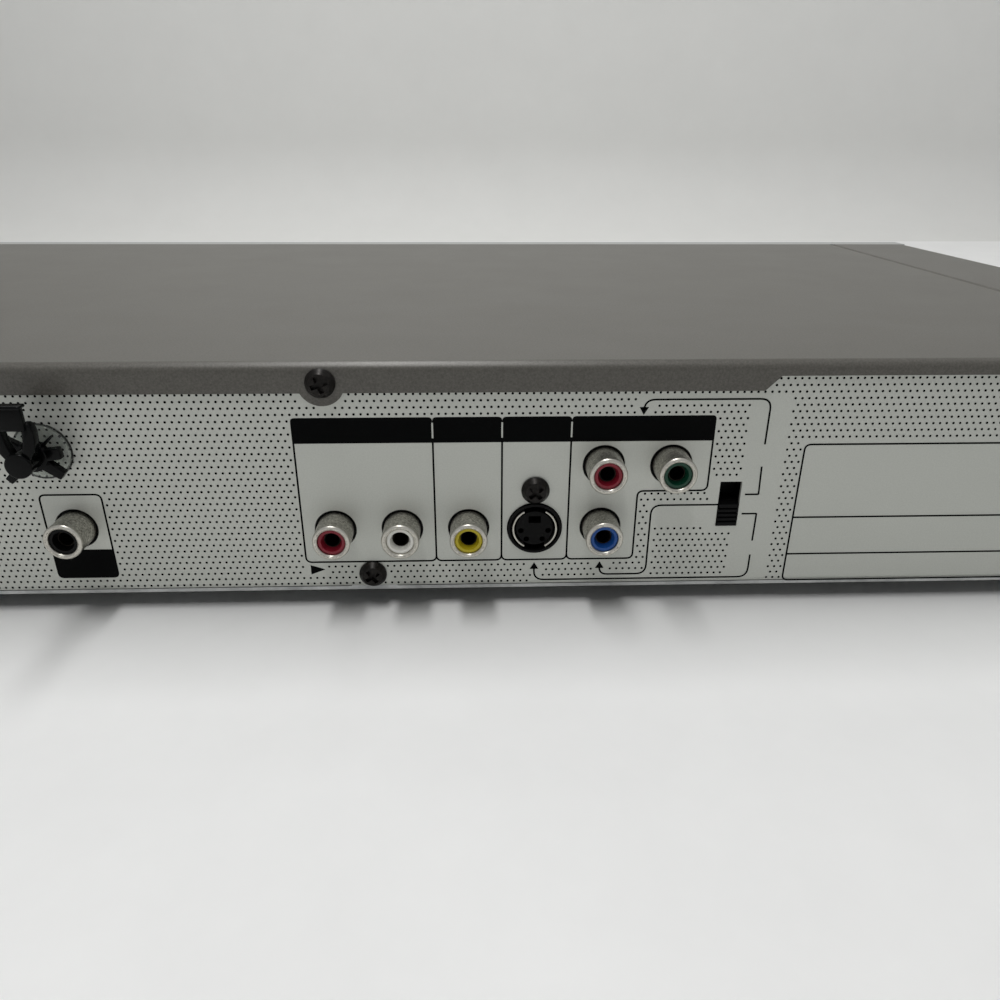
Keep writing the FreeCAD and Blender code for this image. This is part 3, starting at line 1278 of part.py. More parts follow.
def make_turntable():
    """Rotor cup with the disc table, its tapered boss and the shaft."""
    x, y = loader_x, disc_y
    cup = plate_top + 1.4
    table = disc_plane
    profile = [(0, traverse_plate - 0.6), (1.0, traverse_plate - 0.6), (1.0, plate_top + 4.4),
               (spindle_can - 0.8, plate_top + 4.4), (spindle_can - 0.8, cup), (spindle_can, cup),
               (spindle_can, table - 2.0), (turntable_radius, table - 1.6), (turntable_radius, table),
               (boss_radius + 0.1, table), (boss_radius + 0.1, table + 1.0), (boss_radius - 1.4, table + 2.4),
               (0, table + 2.4)]
    return spun(profile, x, y)


def make_all():
    """Every sub-part under its node's name."""
    colours = ("red", "white", "yellow", "blue", "green", "black")
    shapes = {
        "bottom_chassis": make_bottom_chassis(),
        "feet": make_feet(),
        "rear_panel": make_rear_panel(),
        "top_cover": make_top_cover(),
        "front_panel": make_front_panel(),
        "display_window": make_display_window(),
        "front_board": make_front_board(),
        "display_module": make_display_module(),
        "key_switches": make_key_switches(),
        "open_close_button": make_button(button_xs[0]),
        "play_button": make_button(button_xs[1]),
        "stop_button": make_button(button_xs[2]),
        "power_button": make_power_button(),
        "skip_rocker": make_skip_rocker(),
        "audio_jack_block": make_audio_jack_block(),
        "component_jack_block": make_component_jack_block(),
        "coaxial_jack_block": make_coaxial_jack_block(),
        "jack_shells": make_jack_shells(),
        "svideo_socket": make_svideo_socket(),
        "svideo_shield": make_svideo_shield(),
        "switch_body": make_switch_body(),
        "switch_slider": make_switch_slider(),
        "mains_inlet": make_mains_inlet(),
        "inlet_pins": make_inlet_pins(),
        "clip_cup": make_clip_cup(),
        "cable_clip": make_cable_clip(),
        "main_board": make_main_board(),
        "power_board": make_power_board(),
        "board_chips": make_board_chips(),
        "capacitors": make_capacitors(),
        "power_transformer": make_power_transformer(),
        "heat_sink": make_heat_sink(),
        "ribbon_cable": make_ribbon_cable(),
        "black_screws": make_black_screws(),
        "inner_screws": make_inner_screws(),
        "loader_frame": make_loader_frame(),
        "clamp_bridge": make_clamp_bridge(),
        "clamper": make_clamper(),
        "disc_tray": make_disc_tray(),
        "tray_door": make_tray_door(),
        "tray_gear": make_tray_gear(),
        "pulley_gear": make_pulley_gear(),
        "motor_pulley": make_motor_pulley(),
        "drive_belt": make_drive_belt(),
        "loading_motor": make_loading_motor(),
        "cam_slider": make_cam_slider(),
        "traverse_frame": make_traverse_frame(),
        "guide_rods": make_guide_rods(),
        "pickup_sled": make_pickup_sled(),
        "feed_gear": make_feed_gear(),
        "feed_pinion": make_feed_pinion(),
        "feed_motor": make_feed_motor(),
        "spindle_motor": make_spindle_motor(),
        "turntable": make_turntable(),
    }
    for colour in colours:
        shapes[colour + "_insert"] = make_insert(colour)
    return shapes


os.makedirs("parts", exist_ok=True)
for node, shape in make_all().items():
    shape.exportStep("parts/" + node + ".step")
    valid = "ok" if shape.isValid() else "INVALID"
    print(node, valid, len(shape.Solids), round(shape.Volume, 1))
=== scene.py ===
"""Looks of a slim disc player with a motor-driven tray, seen from behind, in the frame of the CAD model."""
import math

import bmesh
import bpy
from mathutils import Matrix, Vector


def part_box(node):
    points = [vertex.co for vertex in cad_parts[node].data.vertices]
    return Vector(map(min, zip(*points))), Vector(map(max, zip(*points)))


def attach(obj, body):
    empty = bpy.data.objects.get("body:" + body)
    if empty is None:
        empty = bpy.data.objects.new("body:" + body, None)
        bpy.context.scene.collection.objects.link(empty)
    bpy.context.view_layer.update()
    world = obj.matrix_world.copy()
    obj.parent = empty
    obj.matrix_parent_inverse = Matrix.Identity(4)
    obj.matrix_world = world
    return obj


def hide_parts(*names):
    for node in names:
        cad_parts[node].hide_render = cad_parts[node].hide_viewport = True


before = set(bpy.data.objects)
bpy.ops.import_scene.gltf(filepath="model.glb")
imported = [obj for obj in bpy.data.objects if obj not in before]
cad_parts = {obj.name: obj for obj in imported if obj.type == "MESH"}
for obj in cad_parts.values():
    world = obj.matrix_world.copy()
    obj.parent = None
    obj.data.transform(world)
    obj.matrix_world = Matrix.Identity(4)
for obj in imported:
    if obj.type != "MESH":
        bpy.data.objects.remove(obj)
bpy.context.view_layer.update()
MM = 0.001


# The view: from behind and above, 150 mm from the rear panel, with a wide lens.
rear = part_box("rear_panel")[1][1] / MM
camera_data = bpy.data.cameras.new("camera")
camera_data.sensor_width = 36.0
camera_data.lens = 28.21
camera_data.clip_start = 0.005
camera = bpy.data.objects.new("camera", camera_data)
camera.location = (-0.02917, rear * MM + 0.14913, 0.09315)
camera.rotation_euler = [math.radians(angle) for angle in (65.615, -0.232, 178.009)]
bpy.context.scene.collection.objects.link(camera)
bpy.context.scene.camera = camera
bpy.context.scene.view_settings.view_transform = "Standard"


# Table and wall: a pale laminate top, and a matt wall that rises from it in a wide hollow curve.
# Both are plain, with the faintest unevenness, so that only the object's shadow shows on them.
def srgb(code):
    """A linear colour from a hex code."""
    values = [int(code[i:i + 2], 16) / 255 for i in (1, 3, 5)]
    linear = [v / 12.92 if v <= 0.04045 else ((v + 0.055) / 1.055) ** 2.4 for v in values]
    return (*linear, 1.0)


def add_node(tree, kind, settings=None, **inputs):
    """Adds a shader node. Its inputs are values or other nodes' sockets.

    An input goes by its name, with _ for a space, or by _number.
    """
    node = tree.nodes.new(kind)
    for key, value in (settings or {}).items():
        setattr(node, key, value)
    for key, value in inputs.items():
        socket = node.inputs[int(key[1:])] if key[1:].isdigit() else node.inputs[key.replace("_", " ")]
        if isinstance(value, bpy.types.NodeSocket):
            tree.links.new(value, socket)
        else:
            socket.default_value = value
    return node


def surface(name, low, high, rough, metallic=0.0, grain=0.5, bump=0.1, depth=0.05, wear=0.05, spread=0.6,
            **extra):
    """A finish whose grain, in millimetres, runs between two colours, with a bump of a depth in millimetres.

    Its gloss is uneven by the wear, in patches of about 26 mm. A small spread makes the grain crisper.
    """
    material = bpy.data.materials.new(name)
    material.use_nodes = True
    tree = material.node_tree
    shader = tree.nodes["Principled BSDF"]
    place = add_node(tree, "ShaderNodeTexCoord").outputs["Object"]
    fine = add_node(tree, "ShaderNodeTexNoise", Vector=place, Scale=1 / (grain * MM), Detail=4.0,
                    Roughness=0.65)
    patches = add_node(tree, "ShaderNodeTexNoise", Vector=place, Scale=38.0, Detail=5.0, Roughness=0.6)
    share = add_node(tree, "ShaderNodeMapRange", Value=fine.outputs["Fac"], From_Min=0.5 - spread / 2,
                     From_Max=0.5 + spread / 2)
    tone = add_node(tree, "ShaderNodeMix", {"data_type": "RGBA"}, _0=share.outputs[0], _6=srgb(low),
                    _7=srgb(high))
    tree.links.new(tone.outputs[2], shader.inputs["Base Color"])
    gloss = add_node(tree, "ShaderNodeMapRange", Value=patches.outputs["Fac"], From_Min=0.3, From_Max=0.7,
                     To_Min=rough - wear, To_Max=rough + wear)
    tree.links.new(gloss.outputs[0], shader.inputs["Roughness"])
    relief = add_node(tree, "ShaderNodeBump", Height=fine.outputs["Fac"], Strength=bump, Distance=depth * MM)
    tree.links.new(relief.outputs["Normal"], shader.inputs["Normal"])
    shader.inputs["Metallic"].default_value = metallic
    for key, value in extra.items():
        shader.inputs[key.replace("_", " ")].default_value = value
    return material


def make_piece(name, build, material, flat=0, smooth=None):
    """An object at the origin, whose mesh a function builds in millimetres.

    Print is flat and faces along y by the sign of flat. Edges over the angle smooth, in degrees, are sharp.
    """
    bm = bmesh.new()
    build(bm)
    bmesh.ops.remove_doubles(bm, verts=bm.verts, dist=0.0001)
    bmesh.ops.recalc_face_normals(bm, faces=bm.faces)
    if flat:
        bmesh.ops.reverse_faces(bm, faces=[face for face in bm.faces if face.normal.y * flat < 0])
    bmesh.ops.scale(bm, vec=(MM, MM, MM), verts=bm.verts)
    mesh = bpy.data.meshes.new(name)
    bm.to_mesh(mesh)
    bm.free()
    if smooth:
        mesh.shade_smooth()
        mesh.set_sharp_from_angle(angle=math.radians(smooth))
    mesh.materials.append(material)
    piece = bpy.data.objects.new(name, mesh)
    bpy.context.scene.collection.objects.link(piece)
    return piece


room_half = 5000
table_near, table_far = 2600, -620
wall_curve, wall_top = 100, 2400
table_top = surface("pale_laminate", "#efefee", "#f5f5f4", rough=0.60, grain=33.0, bump=0.02, depth=0.1)
wall_paint = surface("matt_wall_paint", "#e2e2df", "#e6e6e3", rough=0.80, grain=50.0, bump=0.02, depth=0.1)


def build_table(bm):
    bmesh.ops.create_grid(bm, x_segments=1, y_segments=1, size=1.0)
    for vert in bm.verts:
        vert.co = (math.copysign(room_half, vert.co.x), table_near if vert.co.y > 0 else table_far, 0)


def build_wall(bm):
    """A quarter round and an upright, drawn out along x."""
    foot = bmesh.ops.create_vert(bm, co=(-room_half, table_far, 0))["vert"]
    bmesh.ops.spin(bm, geom=foot, cent=(-room_half, table_far, wall_curve), axis=(1, 0, 0),
                   angle=-math.pi / 2, steps=12)
    curve_end = min(bm.verts, key=lambda vert: vert.co.y)
    head = bmesh.ops.create_vert(bm, co=(-room_half, table_far - wall_curve, wall_top))["vert"][0]
    bm.edges.new((curve_end, head))
    grown = bmesh.ops.extrude_edge_only(bm, edges=bm.edges[:])
    far = [item for item in grown["geom"] if isinstance(item, bmesh.types.BMVert)]
    bmesh.ops.translate(bm, vec=(2 * room_half, 0, 0), verts=far)


make_piece("table", build_table, table_top)
make_piece("wall", build_wall, wall_paint, smooth=60)


# Chassis, feet and inner screws: a tray of zinc-plated sheet steel on four moulded rubber feet. The bridge
# over the disc is of the same sheet. The plate keeps a soft cloudy spangle, and the rubber hardly shines.
def dress(material, *names):
    """Gives CAD nodes a finish."""
    for name in names:
        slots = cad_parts[name].data.materials
        if not slots:
            slots.append(material)
        for i in range(len(slots)):
            slots[i] = material


zinc_steel = surface("zinc_plated_steel", "#9a9c9c", "#c3c5c4", rough=0.34, metallic=1.0, grain=6.0,
                     bump=0.05, depth=0.03, spread=0.35)
rubber = surface("moulded_rubber", "#101010", "#1c1c1c", rough=0.72, grain=0.6, bump=0.25, depth=0.08)
dress(zinc_steel, "bottom_chassis", "clamp_bridge", "inner_screws")
dress(rubber, "feet")


# Rear panel: sheet steel with a satin silver coat that takes a soft light without a clear reflection. Its
# fine powder grain is drawn coarser than it is, so that a close view shows it.
silver_coat = surface("satin_silver_coat", "#bcbeb7", "#cccec7", rough=0.46, metallic=0.40, grain=0.32,
                      bump=0.12, depth=0.04, spread=0.7)
dress(silver_coat, "rear_panel")


# Printed frames: lines round the groups of sockets, screen-printed on the panel, with a dark band along the
# top, or along the foot at the single jack. The ink is a flat near black with no gloss, and its grain is
# drawn coarser than the real one.
ink_rise = 0.03
line_width = 0.38
panel_ink = surface("screen_ink", "#040505", "#090a0a", rough=0.60, grain=0.4, bump=0.05, depth=0.02,
                    Specular_IOR_Level=0.04)
# Seen from behind, left is the larger x. A frame is given as its left, right, low and high edges.
frame_edges = (6.9, -21.0, -35.0, -49.05, -78.1)
frame_low = 11.3
frame_step = (-63.45, 27.25)
frame_corner = 1.3
band_low, band_high = 38.35, 43.75
band_corner = 0.9
seam, seam_low, seam_high = 0.17, 39.3, 42.6
coax_frame = (59.6, 47.1, 8.4, 27.7)
coax_band_high = 15.05
ruled_frame = (-97.4, -192.0, 5.3, 37.3)
ruled_rows = (11.85, 20.7)


def rounded(points, radius, closed=False, steps=6):
    """A path with its corners rounded, as a list of points."""
    path = []
    last = len(points) - 1
    for i, point in enumerate(points):
        here = Vector(point)
        if not closed and i in (0, last):
            path.append(here)
            continue
        before, after = Vector(points[i - 1]) - here, Vector(points[(i + 1) % (last + 1)]) - here
        share_before = 1.0 if not closed and i == 1 else 0.5
        share_after = 1.0 if not closed and i == last - 1 else 0.5
        reach = min(radius, before.length * share_before, after.length * share_after)
        start, end = here + before.normalized() * reach, here + after.normalized() * reach
        for t in [step / steps for step in range(steps + 1)]:
            path.append(start * (1 - t) ** 2 + here * 2 * t * (1 - t) + end * t ** 2)
    return path


def print_point(bm, x, z):
    return bm.verts.new((x, rear + ink_rise, z))


def print_patch(bm, path):
    bm.faces.new([print_point(bm, *point) for point in path])


def print_line(bm, path, closed=False):
    """An even stripe along a path."""
    count = len(path)
    pairs = []
    for i, point in enumerate(path):
        ahead = path[(i + 1) % count] if closed or i < count - 1 else point
        behind = path[i - 1] if closed or i > 0 else point
        along = (ahead - behind).normalized()
        across = Vector((-along.y, along.x)) * line_width / 2
        pairs.append((print_point(bm, *(point + across)), print_point(bm, *(point - across))))
    for i in range(count if closed else count - 1):
        a, b = pairs[i], pairs[(i + 1) % count]
        bm.faces.new((a[0], a[1], b[1], b[0]))


def build_frames(bm):
    """The frames are open at the top, where their bands close them."""
    for left, right in zip(frame_edges[:-2], frame_edges[1:-1]):
        outline = [(left, band_low), (left, frame_low), (right, frame_low), (right, band_low)]
        print_line(bm, rounded(outline, frame_corner))
    left, right = frame_edges[-2:]
    step_x, step_z = frame_step
    outline = [(left, band_low), (left, frame_low), (step_x, frame_low), (step_x, step_z), (right, step_z),
               (right, band_low)]
    print_line(bm, rounded(outline, frame_corner))
    left, right, low, high = coax_frame
    outline = [(left, coax_band_high), (left, high), (right, high), (right, coax_band_high)]
    print_line(bm, rounded(outline, frame_corner))
    band_left, band_right, band_foot = left + line_width / 2, right - line_width / 2, low - line_width / 2
    outline = [(band_left, coax_band_high), (band_left, band_foot), (band_right, band_foot),
               (band_right, coax_band_high)]
    print_patch(bm, rounded(outline, frame_corner))
    left, right, low, high = ruled_frame
    outline = [(left, low), (left, high), (right, high), (right, low)]
    print_line(bm, rounded(outline, frame_corner, closed=True), closed=True)
    for z in ruled_rows:
        print_line(bm, [Vector((left, z)), Vector((right, z))])


def build_bands(bm):
    """A band for each frame, with rounded upper corners. A thin bare line is left between neighbours."""
    for left, right in zip(frame_edges, frame_edges[1:]):
        outer_left, outer_right = left == frame_edges[0], right == frame_edges[-1]
        left += line_width / 2 if outer_left else 0.0
        right -= line_width / 2 if outer_right else 0.0
        corners = [(left, band_low), (left, band_high), (right, band_high), (right, band_low)]
        path = [Vector(corners[0])]
        if not outer_left:
            inner = left - seam
            path += [Vector(p) for p in ((left, seam_low), (inner, seam_low), (inner, seam_high),
                                         (left, seam_high))]
        path += rounded(corners, band_corner)[1:-1]
        if not outer_right:
            inner = right + seam
            path += [Vector(p) for p in ((right, seam_high), (inner, seam_high), (inner, seam_low),
                                         (right, seam_low))]
        path.append(Vector(corners[-1]))
        print_patch(bm, path)


for name, build in (("printed_frames", build_frames), ("printed_bands", build_bands)):
    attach(make_piece(name, build, panel_ink, flat=1), "case")


# Printed leads: lines of the same ink that run from the switch's positions to the frames, with an arrow
# head on each, and a small wedge beside the lowest jack.
lead_high = [(-88.95, 37.4), (-88.95, 47.1), (-63.4, 47.1), (-63.4, 44.9)]
lead_middle = [(-80.9, 23.9), (-66.65, 23.9), (-66.65, 7.4), (-56.4, 7.4), (-56.4, 9.2)]
lead_low = [(-89.35, 11.8), (-89.35, 6.25), (-42.1, 6.25), (-42.1, 9.2)]
leads = (lead_high, lead_middle, lead_low)
lead_corner = 2.2
stub_high = [(-86.3, 26.2), (-89.2, 26.2), (-89.0, 32.5)]
stub_low = [(-86.2, 21.7), (-89.4, 21.7), (-89.35, 15.2)]
stub_corner = 0.2
arrow_tips = ((-63.4, 43.9, -1), (-56.4, 10.6, 1), (-42.1, 10.6, 1))
arrow_half, arrow_height = 0.95, 1.65
wedge = ((6.1, 10.6), (6.1, 8.3), (3.0, 9.5))


def build_leads(bm):
    for points in leads:
        print_line(bm, rounded(points, lead_corner))
    for points in (stub_high, stub_low):
        print_line(bm, rounded(points, stub_corner))
    for x, z, way in arrow_tips:
        foot = z - arrow_height * way
        print_patch(bm, [(x, z), (x + arrow_half * way, foot), (x - arrow_half * way, foot)])
    print_patch(bm, wedge)


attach(make_piece("printed_leads", build_leads, panel_ink, flat=1), "case")


# Printed dots: a pattern over the whole panel in the same ink, in rows of which every other one is shifted
# by half a pitch. They stay clear of the frames, the leads, the sockets and the mains inlet.
dot_pitch, dot_rise, dot_radius = 1.4, 1.371, 0.27
dot_origin = (27.35, 26.62)
side_margin, foot_margin, head_margin = 2.6, 1.0, 0.5
inlet_margin = 1.5
lead_margin = 0.6
arrow_beside, arrow_ahead, arrow_behind = 1.7, 1.0, 2.6
inlet_low, inlet_high = ([value / MM for value in corner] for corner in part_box("mains_inlet"))
# Left, right, low and high edges, and the discs' centres and radii.
bare_boxes = (
    (7.6, -49.9, 10.6, 44.1), (-49.0, -78.7, 26.9, 44.1), (-49.0, -64.0, 10.6, 44.1),
    (60.4, 46.3, 7.7, 28.5), (-96.6, -192.8, 4.9, 38.0),
    (-85.2, -93.4, 4.9, 48.4), (-84.5, -93.4, 4.9, 18.0), (-67.3, -93.4, 18.8, 23.4),
    (-78.6, -88.0, 17.6, 30.3), (7.4, 2.2, 7.6, 11.2), (-41.0, -89.9, 4.9, 6.9),
    (inlet_high[0] + inlet_margin, inlet_low[0] - inlet_margin,
     inlet_low[2] - inlet_margin, inlet_high[2] + inlet_margin),
)
bare_discs = ((0.3, 51.1, 5.6), (-7.2, 8.4, 3.4))


def near_lead(x, z):
    """True where a printed line or arrow passes close by."""
    for points in leads:
        for start, end in zip(points, points[1:]):
            along, place = Vector(end) - Vector(start), Vector((x, z)) - Vector(start)
            share = max(0.0, min(1.0, place.dot(along) / along.length_squared))
            if (place - along * share).length < lead_margin:
                return True
    return any(abs(x - tip_x) < arrow_beside and -arrow_ahead < (tip_z - z) * way < arrow_behind
               for tip_x, tip_z, way in arrow_tips)


def dot_shows(x, z):
    if any(right < x < left and low < z < high for left, right, low, high in bare_boxes):
        return False
    if any(math.hypot(x - disc_x, z - disc_z) < radius for disc_x, disc_z, radius in bare_discs):
        return False
    return not near_lead(x, z)


def build_dots(bm):
    low, high = (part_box("rear_panel")[i][2] / MM for i in (0, 1))
    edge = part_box("top_cover")[1][0] / MM - side_margin
    first_row = math.ceil((low + foot_margin - dot_origin[1]) / dot_rise)
    last_row = math.floor((high - head_margin - dot_origin[1]) / dot_rise)
    for row in range(first_row, last_row + 1):
        z = dot_origin[1] + row * dot_rise
        offset = dot_origin[0] - (dot_pitch / 2 if row % 2 else 0.0)
        first, last = math.ceil((-edge - offset) / dot_pitch), math.floor((edge - offset) / dot_pitch)
        for column in range(first, last + 1):
            x = offset + column * dot_pitch
            if dot_shows(x, z):
                place = Matrix.Translation((x, rear + ink_rise, z)) @ Matrix.Rotation(math.pi / 2, 4, "X")
                bmesh.ops.create_circle(bm, cap_ends=True, segments=8, radius=dot_radius, matrix=place)


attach(make_piece("printed_dots", build_dots, panel_ink, flat=1), "case")


# Phono jacks: drawn brass barrels, each with a rolled lip, a coloured insert in its mouth and a sprung
# contact deep in its bore. The satin nickel plate looks speckled close up, with a grain drawn coarser than
# the real pits. The lip is brighter and smoother. The tin of the contact is painted near black: painted
# shade deep in the bore, not the tin's own colour.
def turned(bm, section, x, z, turn=math.tau, start=0.0, steps=40):
    """Turns a closed section of (radius, distance out of the panel) about a socket's axis."""
    along, up = math.cos(start), math.sin(start)
    verts = [bm.verts.new((x + radius * along, rear + out, z + radius * up)) for radius, out in section]
    edges = [bm.edges.new(pair) for pair in zip(verts, verts[1:] + verts[:1])]
    bmesh.ops.spin(bm, geom=verts + edges, cent=(x, rear, z), axis=(0, -1, 0), angle=turn, steps=steps,
                   use_merge=turn == math.tau)
    if turn < math.tau:
        open_edges = [edge for edge in bm.edges if edge.is_boundary]
        bmesh.ops.holes_fill(bm, edges=open_edges, sides=len(section))


jack_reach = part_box("jack_shells")[1][1] / MM - rear
jack_places = ((0.0, 19.1), (-14.0, 19.1), (-28.0, 19.1), (-56.0, 19.1), (-56.0, 33.15), (-70.0, 33.15),
               (53.5, 20.05))
lip_middle, lip_half, lip_depth, lip_steps = 3.36, 0.54, 0.52, 16
contact_radius, contact_wall, contact_front, contact_back = 1.66, 0.14, 1.9, 9.4
satin_nickel = surface("satin_nickel", "#77736a", "#dcd9d0", rough=0.36, metallic=1.0, grain=0.42, bump=0.6,
                       depth=0.08, spread=0.34)
rolled_nickel = surface("rolled_nickel", "#aeaba1", "#cbc8bf", rough=0.33, metallic=1.0, grain=0.6,
                        bump=0.25, depth=0.04)
# Painted shade: the contact's tin is given a near black that stands in for the shadow deep in each bore.
bore_shade_tin = surface("tin_with_painted_bore_shade", "#24211d", "#38342e", rough=0.50, metallic=1.0, grain=0.6, bump=0.2,
                    depth=0.04)
dress(satin_nickel, "jack_shells")


def build_lips(bm):
    section = []
    for angle in [math.tau * step / lip_steps for step in range(lip_steps)]:
        section.append((lip_middle + lip_half * math.cos(angle),
                        jack_reach - lip_depth + lip_depth * math.sin(angle)))
    for x, z in jack_places:
        turned(bm, section, x, z)


def build_contacts(bm):
    inner = contact_radius - contact_wall
    front, back = jack_reach - contact_front, jack_reach - contact_back
    section = [(inner, back), (contact_radius, back), (contact_radius, front), (inner, front)]
    for x, z in jack_places:
        turned(bm, section, x, z, steps=24)


for name, build, material in (("jack_lips", build_lips, rolled_nickel),
                              ("jack_contacts", build_contacts, bore_shade_tin)):
    piece = make_piece(name, build, material, smooth=40)
    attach(piece, "case")


# Jack inserts: rings moulded in the usual colours, of a clean plastic, and pressed into the barrels. They
# have a slight gloss and an even colour, with only a faint mould grain. The black one reflects least.
for colour, low, high, reflection in (
        ("red", "#7f1a29", "#932334", 0.35), ("white", "#f3f2ea", "#f8f7f1", 0.35),
        ("yellow", "#bfae1e", "#d2c02c", 0.35), ("blue", "#1a4c93", "#2158a4", 0.35),
        ("green", "#0c3b2a", "#134b36", 0.35), ("black", "#060606", "#0c0c0c", 0.12)):
    insert = colour + "_insert"
    dress(surface(insert, low, high, rough=0.32, grain=1.4, bump=0.08, depth=0.04,
                  Specular_IOR_Level=reflection), insert)


# Jack housings, slide switch and mains inlet: moulded in black glass-filled plastic and set in the panel
# from behind. Its skin is dry, and shines a little on edges. The inlet's pins are plated as the lips are.
dull_black = surface("dull_black_plastic", "#060606", "#0d0d0d", rough=0.46, grain=0.55, bump=0.12,
                     depth=0.04, Specular_IOR_Level=0.10)
dress(dull_black, "audio_jack_block", "component_jack_block", "coaxial_jack_block", "switch_body",
      "switch_slider", "mains_inlet")
dress(rolled_nickel, "inlet_pins")


# Round video socket: a core of the same black plastic, with a thin nickel-plated screen round it. The
# screen is pressed from sheet in two halves, with a gap above and below.
screen_low, screen_high = ([value / MM for value in corner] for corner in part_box("svideo_shield"))
screen_x, screen_z = ((screen_low[i] + screen_high[i]) / 2 for i in (0, 2))
screen_inner, screen_outer = 4.38, 4.74
chamfer_width, chamfer_depth = 0.12, 0.1
screen_gap = math.radians(29)
dress(dull_black, "svideo_socket")


def build_screen(bm):
    back, mouth = screen_low[1] - rear, screen_high[1] - rear
    section = [(screen_inner, back), (screen_outer, back), (screen_outer, mouth - chamfer_depth),
               (screen_outer - chamfer_width, mouth), (screen_inner + chamfer_width, mouth),
               (screen_inner, mouth - chamfer_depth)]
    for start in (-math.pi / 2 + screen_gap, math.pi / 2 + screen_gap):
        turned(bm, section, screen_x, screen_z, math.pi - 2 * screen_gap, start)


screen = make_piece("socket_screen", build_screen, rolled_nickel, smooth=40)
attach(screen, "case")
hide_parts("svideo_shield")


# Screws of the case: pan heads of steel with a black plate, driven through the panel and the cover. The
# plate is a brownish black, with a faint uneven grain.
black_steel = surface("black_plated_steel", "#0c0b0a", "#282522", rough=0.36, metallic=0.50, grain=0.5,
                      bump=0.25, depth=0.05, spread=0.4, Specular_IOR_Level=0.25)
dress(black_steel, "black_screws")


# Suction cup: cast in clear vinyl and pressed on the panel. One sees the panel through it, with a soft
# bright rim where the light bends.
clear_vinyl = surface("clear_vinyl", "#e6e9e6", "#f0f3f0", rough=0.08, grain=5.0, bump=0.02, wear=0.02,
                      Transmission_Weight=0.97, IOR=1.30)
dress(clear_vinyl, "clip_cup")


# Lead clip: moulded in one in black nylon, with a headed sleeve pushed over the cup's neck, splayed prongs,
# and a yoke with a crossbar under which a lead is held. The nylon is glossy, with slightly wavy reflections.
glossy_nylon = surface("glossy_black_nylon", "#020303", "#050707", rough=0.22, grain=1.1, bump=0.12,
                       depth=0.06, Specular_IOR_Level=0.12)
clip_x, clip_z = 56.5, 37.6
# Radius, near and far distance from the panel, softening of the rims.
drums = ((3.1, 2.6, 4.6, 0.3), (2.35, 4.4, 8.4, 0.1), (2.5, 8.2, 9.4, 0.25))
# Angle from +x, length, width at the root and at the tip, near and far distance from the panel.
prongs = ((173, 5.6, 2.6, 2.3, 2.8, 4.5), (218, 6.6, 2.4, 1.9, 2.8, 4.5), (137, 6.0, 0.9, 0.35, 2.7, 3.7),
          (316, 6.6, 2.0, 1.6, 4.0, 5.6), (32, 7.4, 2.8, 2.4, 2.9, 4.5))
prong_start, prong_softening = 1.6, 0.22
yoke_arm = [(-2.2, 8.3), (-3.2, 8.3), (-3.8, 7.7), (-4.0, 6.4), (-3.8, 4.0), (-3.2, 2.4), (-2.0, 0.6),
            (-0.3, 0.6), (-1.1, 2.8), (-1.6, 4.5), (-1.9, 6.9)]
crossbar = [(-3.0, 6.9), (3.0, 6.9), (3.0, 11.6), (-3.0, 11.6)]
crossbar_lip = [(-3.2, 11.2), (3.2, 11.2), (3.2, 11.9), (-3.2, 11.9)]


def soften(bm, edges, width):
    bmesh.ops.bevel(bm, geom=list(edges), offset=width, segments=3, profile=0.5, affect="EDGES", material=-1,
                    clamp_overlap=True)


def add_slab(bm, outline, near, far, width):
    """A slab with softened edges. Its outline is (x, z) from the clip's axis, and it lies near to far."""
    base = bm.faces.new([bm.verts.new((clip_x + x, rear + near, clip_z + z)) for x, z in outline])
    grown = bmesh.ops.extrude_face_region(bm, geom=[base])["geom"]
    top = [item for item in grown if isinstance(item, bmesh.types.BMVert)]
    bmesh.ops.translate(bm, vec=(0, far - near, 0), verts=top)
    soften(bm, {edge for vert in top + list(base.verts) for edge in vert.link_edges}, width)


def add_drum(bm, radius, near, far, width):
    """A round drum on the clip's axis, with softened rims."""
    middle = Matrix.Translation((clip_x, rear + (near + far) / 2, clip_z))
    place = middle @ Matrix.Rotation(math.pi / 2, 4, "X")
    drum = bmesh.ops.create_cone(bm, cap_ends=True, segments=40, radius1=radius, radius2=radius,
                                 depth=far - near, matrix=place)["verts"]
    rims = {edge for vert in drum for edge in vert.link_edges
            if any(len(face.verts) > 4 for face in edge.link_faces)}
    soften(bm, rims, width)


def add_prong(bm, angle, length, root, tip, near, far):
    """A flat prong that leaves the collar at an angle and narrows from root to tip."""
    turn = Matrix.Rotation(math.radians(angle), 2)
    outline = [(prong_start, -root / 2), (length, -tip / 2), (length, tip / 2), (prong_start, root / 2)]
    add_slab(bm, [turn @ Vector(point) for point in outline], near, far, prong_softening)


def build_clip(bm):
    for drum in drums:
        add_drum(bm, *drum)
    for prong in prongs:
        add_prong(bm, *prong)
    for side in (1, -1):
        add_slab(bm, [(side * x, z) for x, z in yoke_arm], near=6.6, far=8.8, width=0.35)
    add_slab(bm, crossbar, near=7.9, far=9.5, width=0.5)
    add_slab(bm, crossbar_lip, near=7.4, far=9.9, width=0.3)


clip = make_piece("lead_clip", build_clip, glossy_nylon, smooth=35)
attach(clip, "case")
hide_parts("cable_clip")


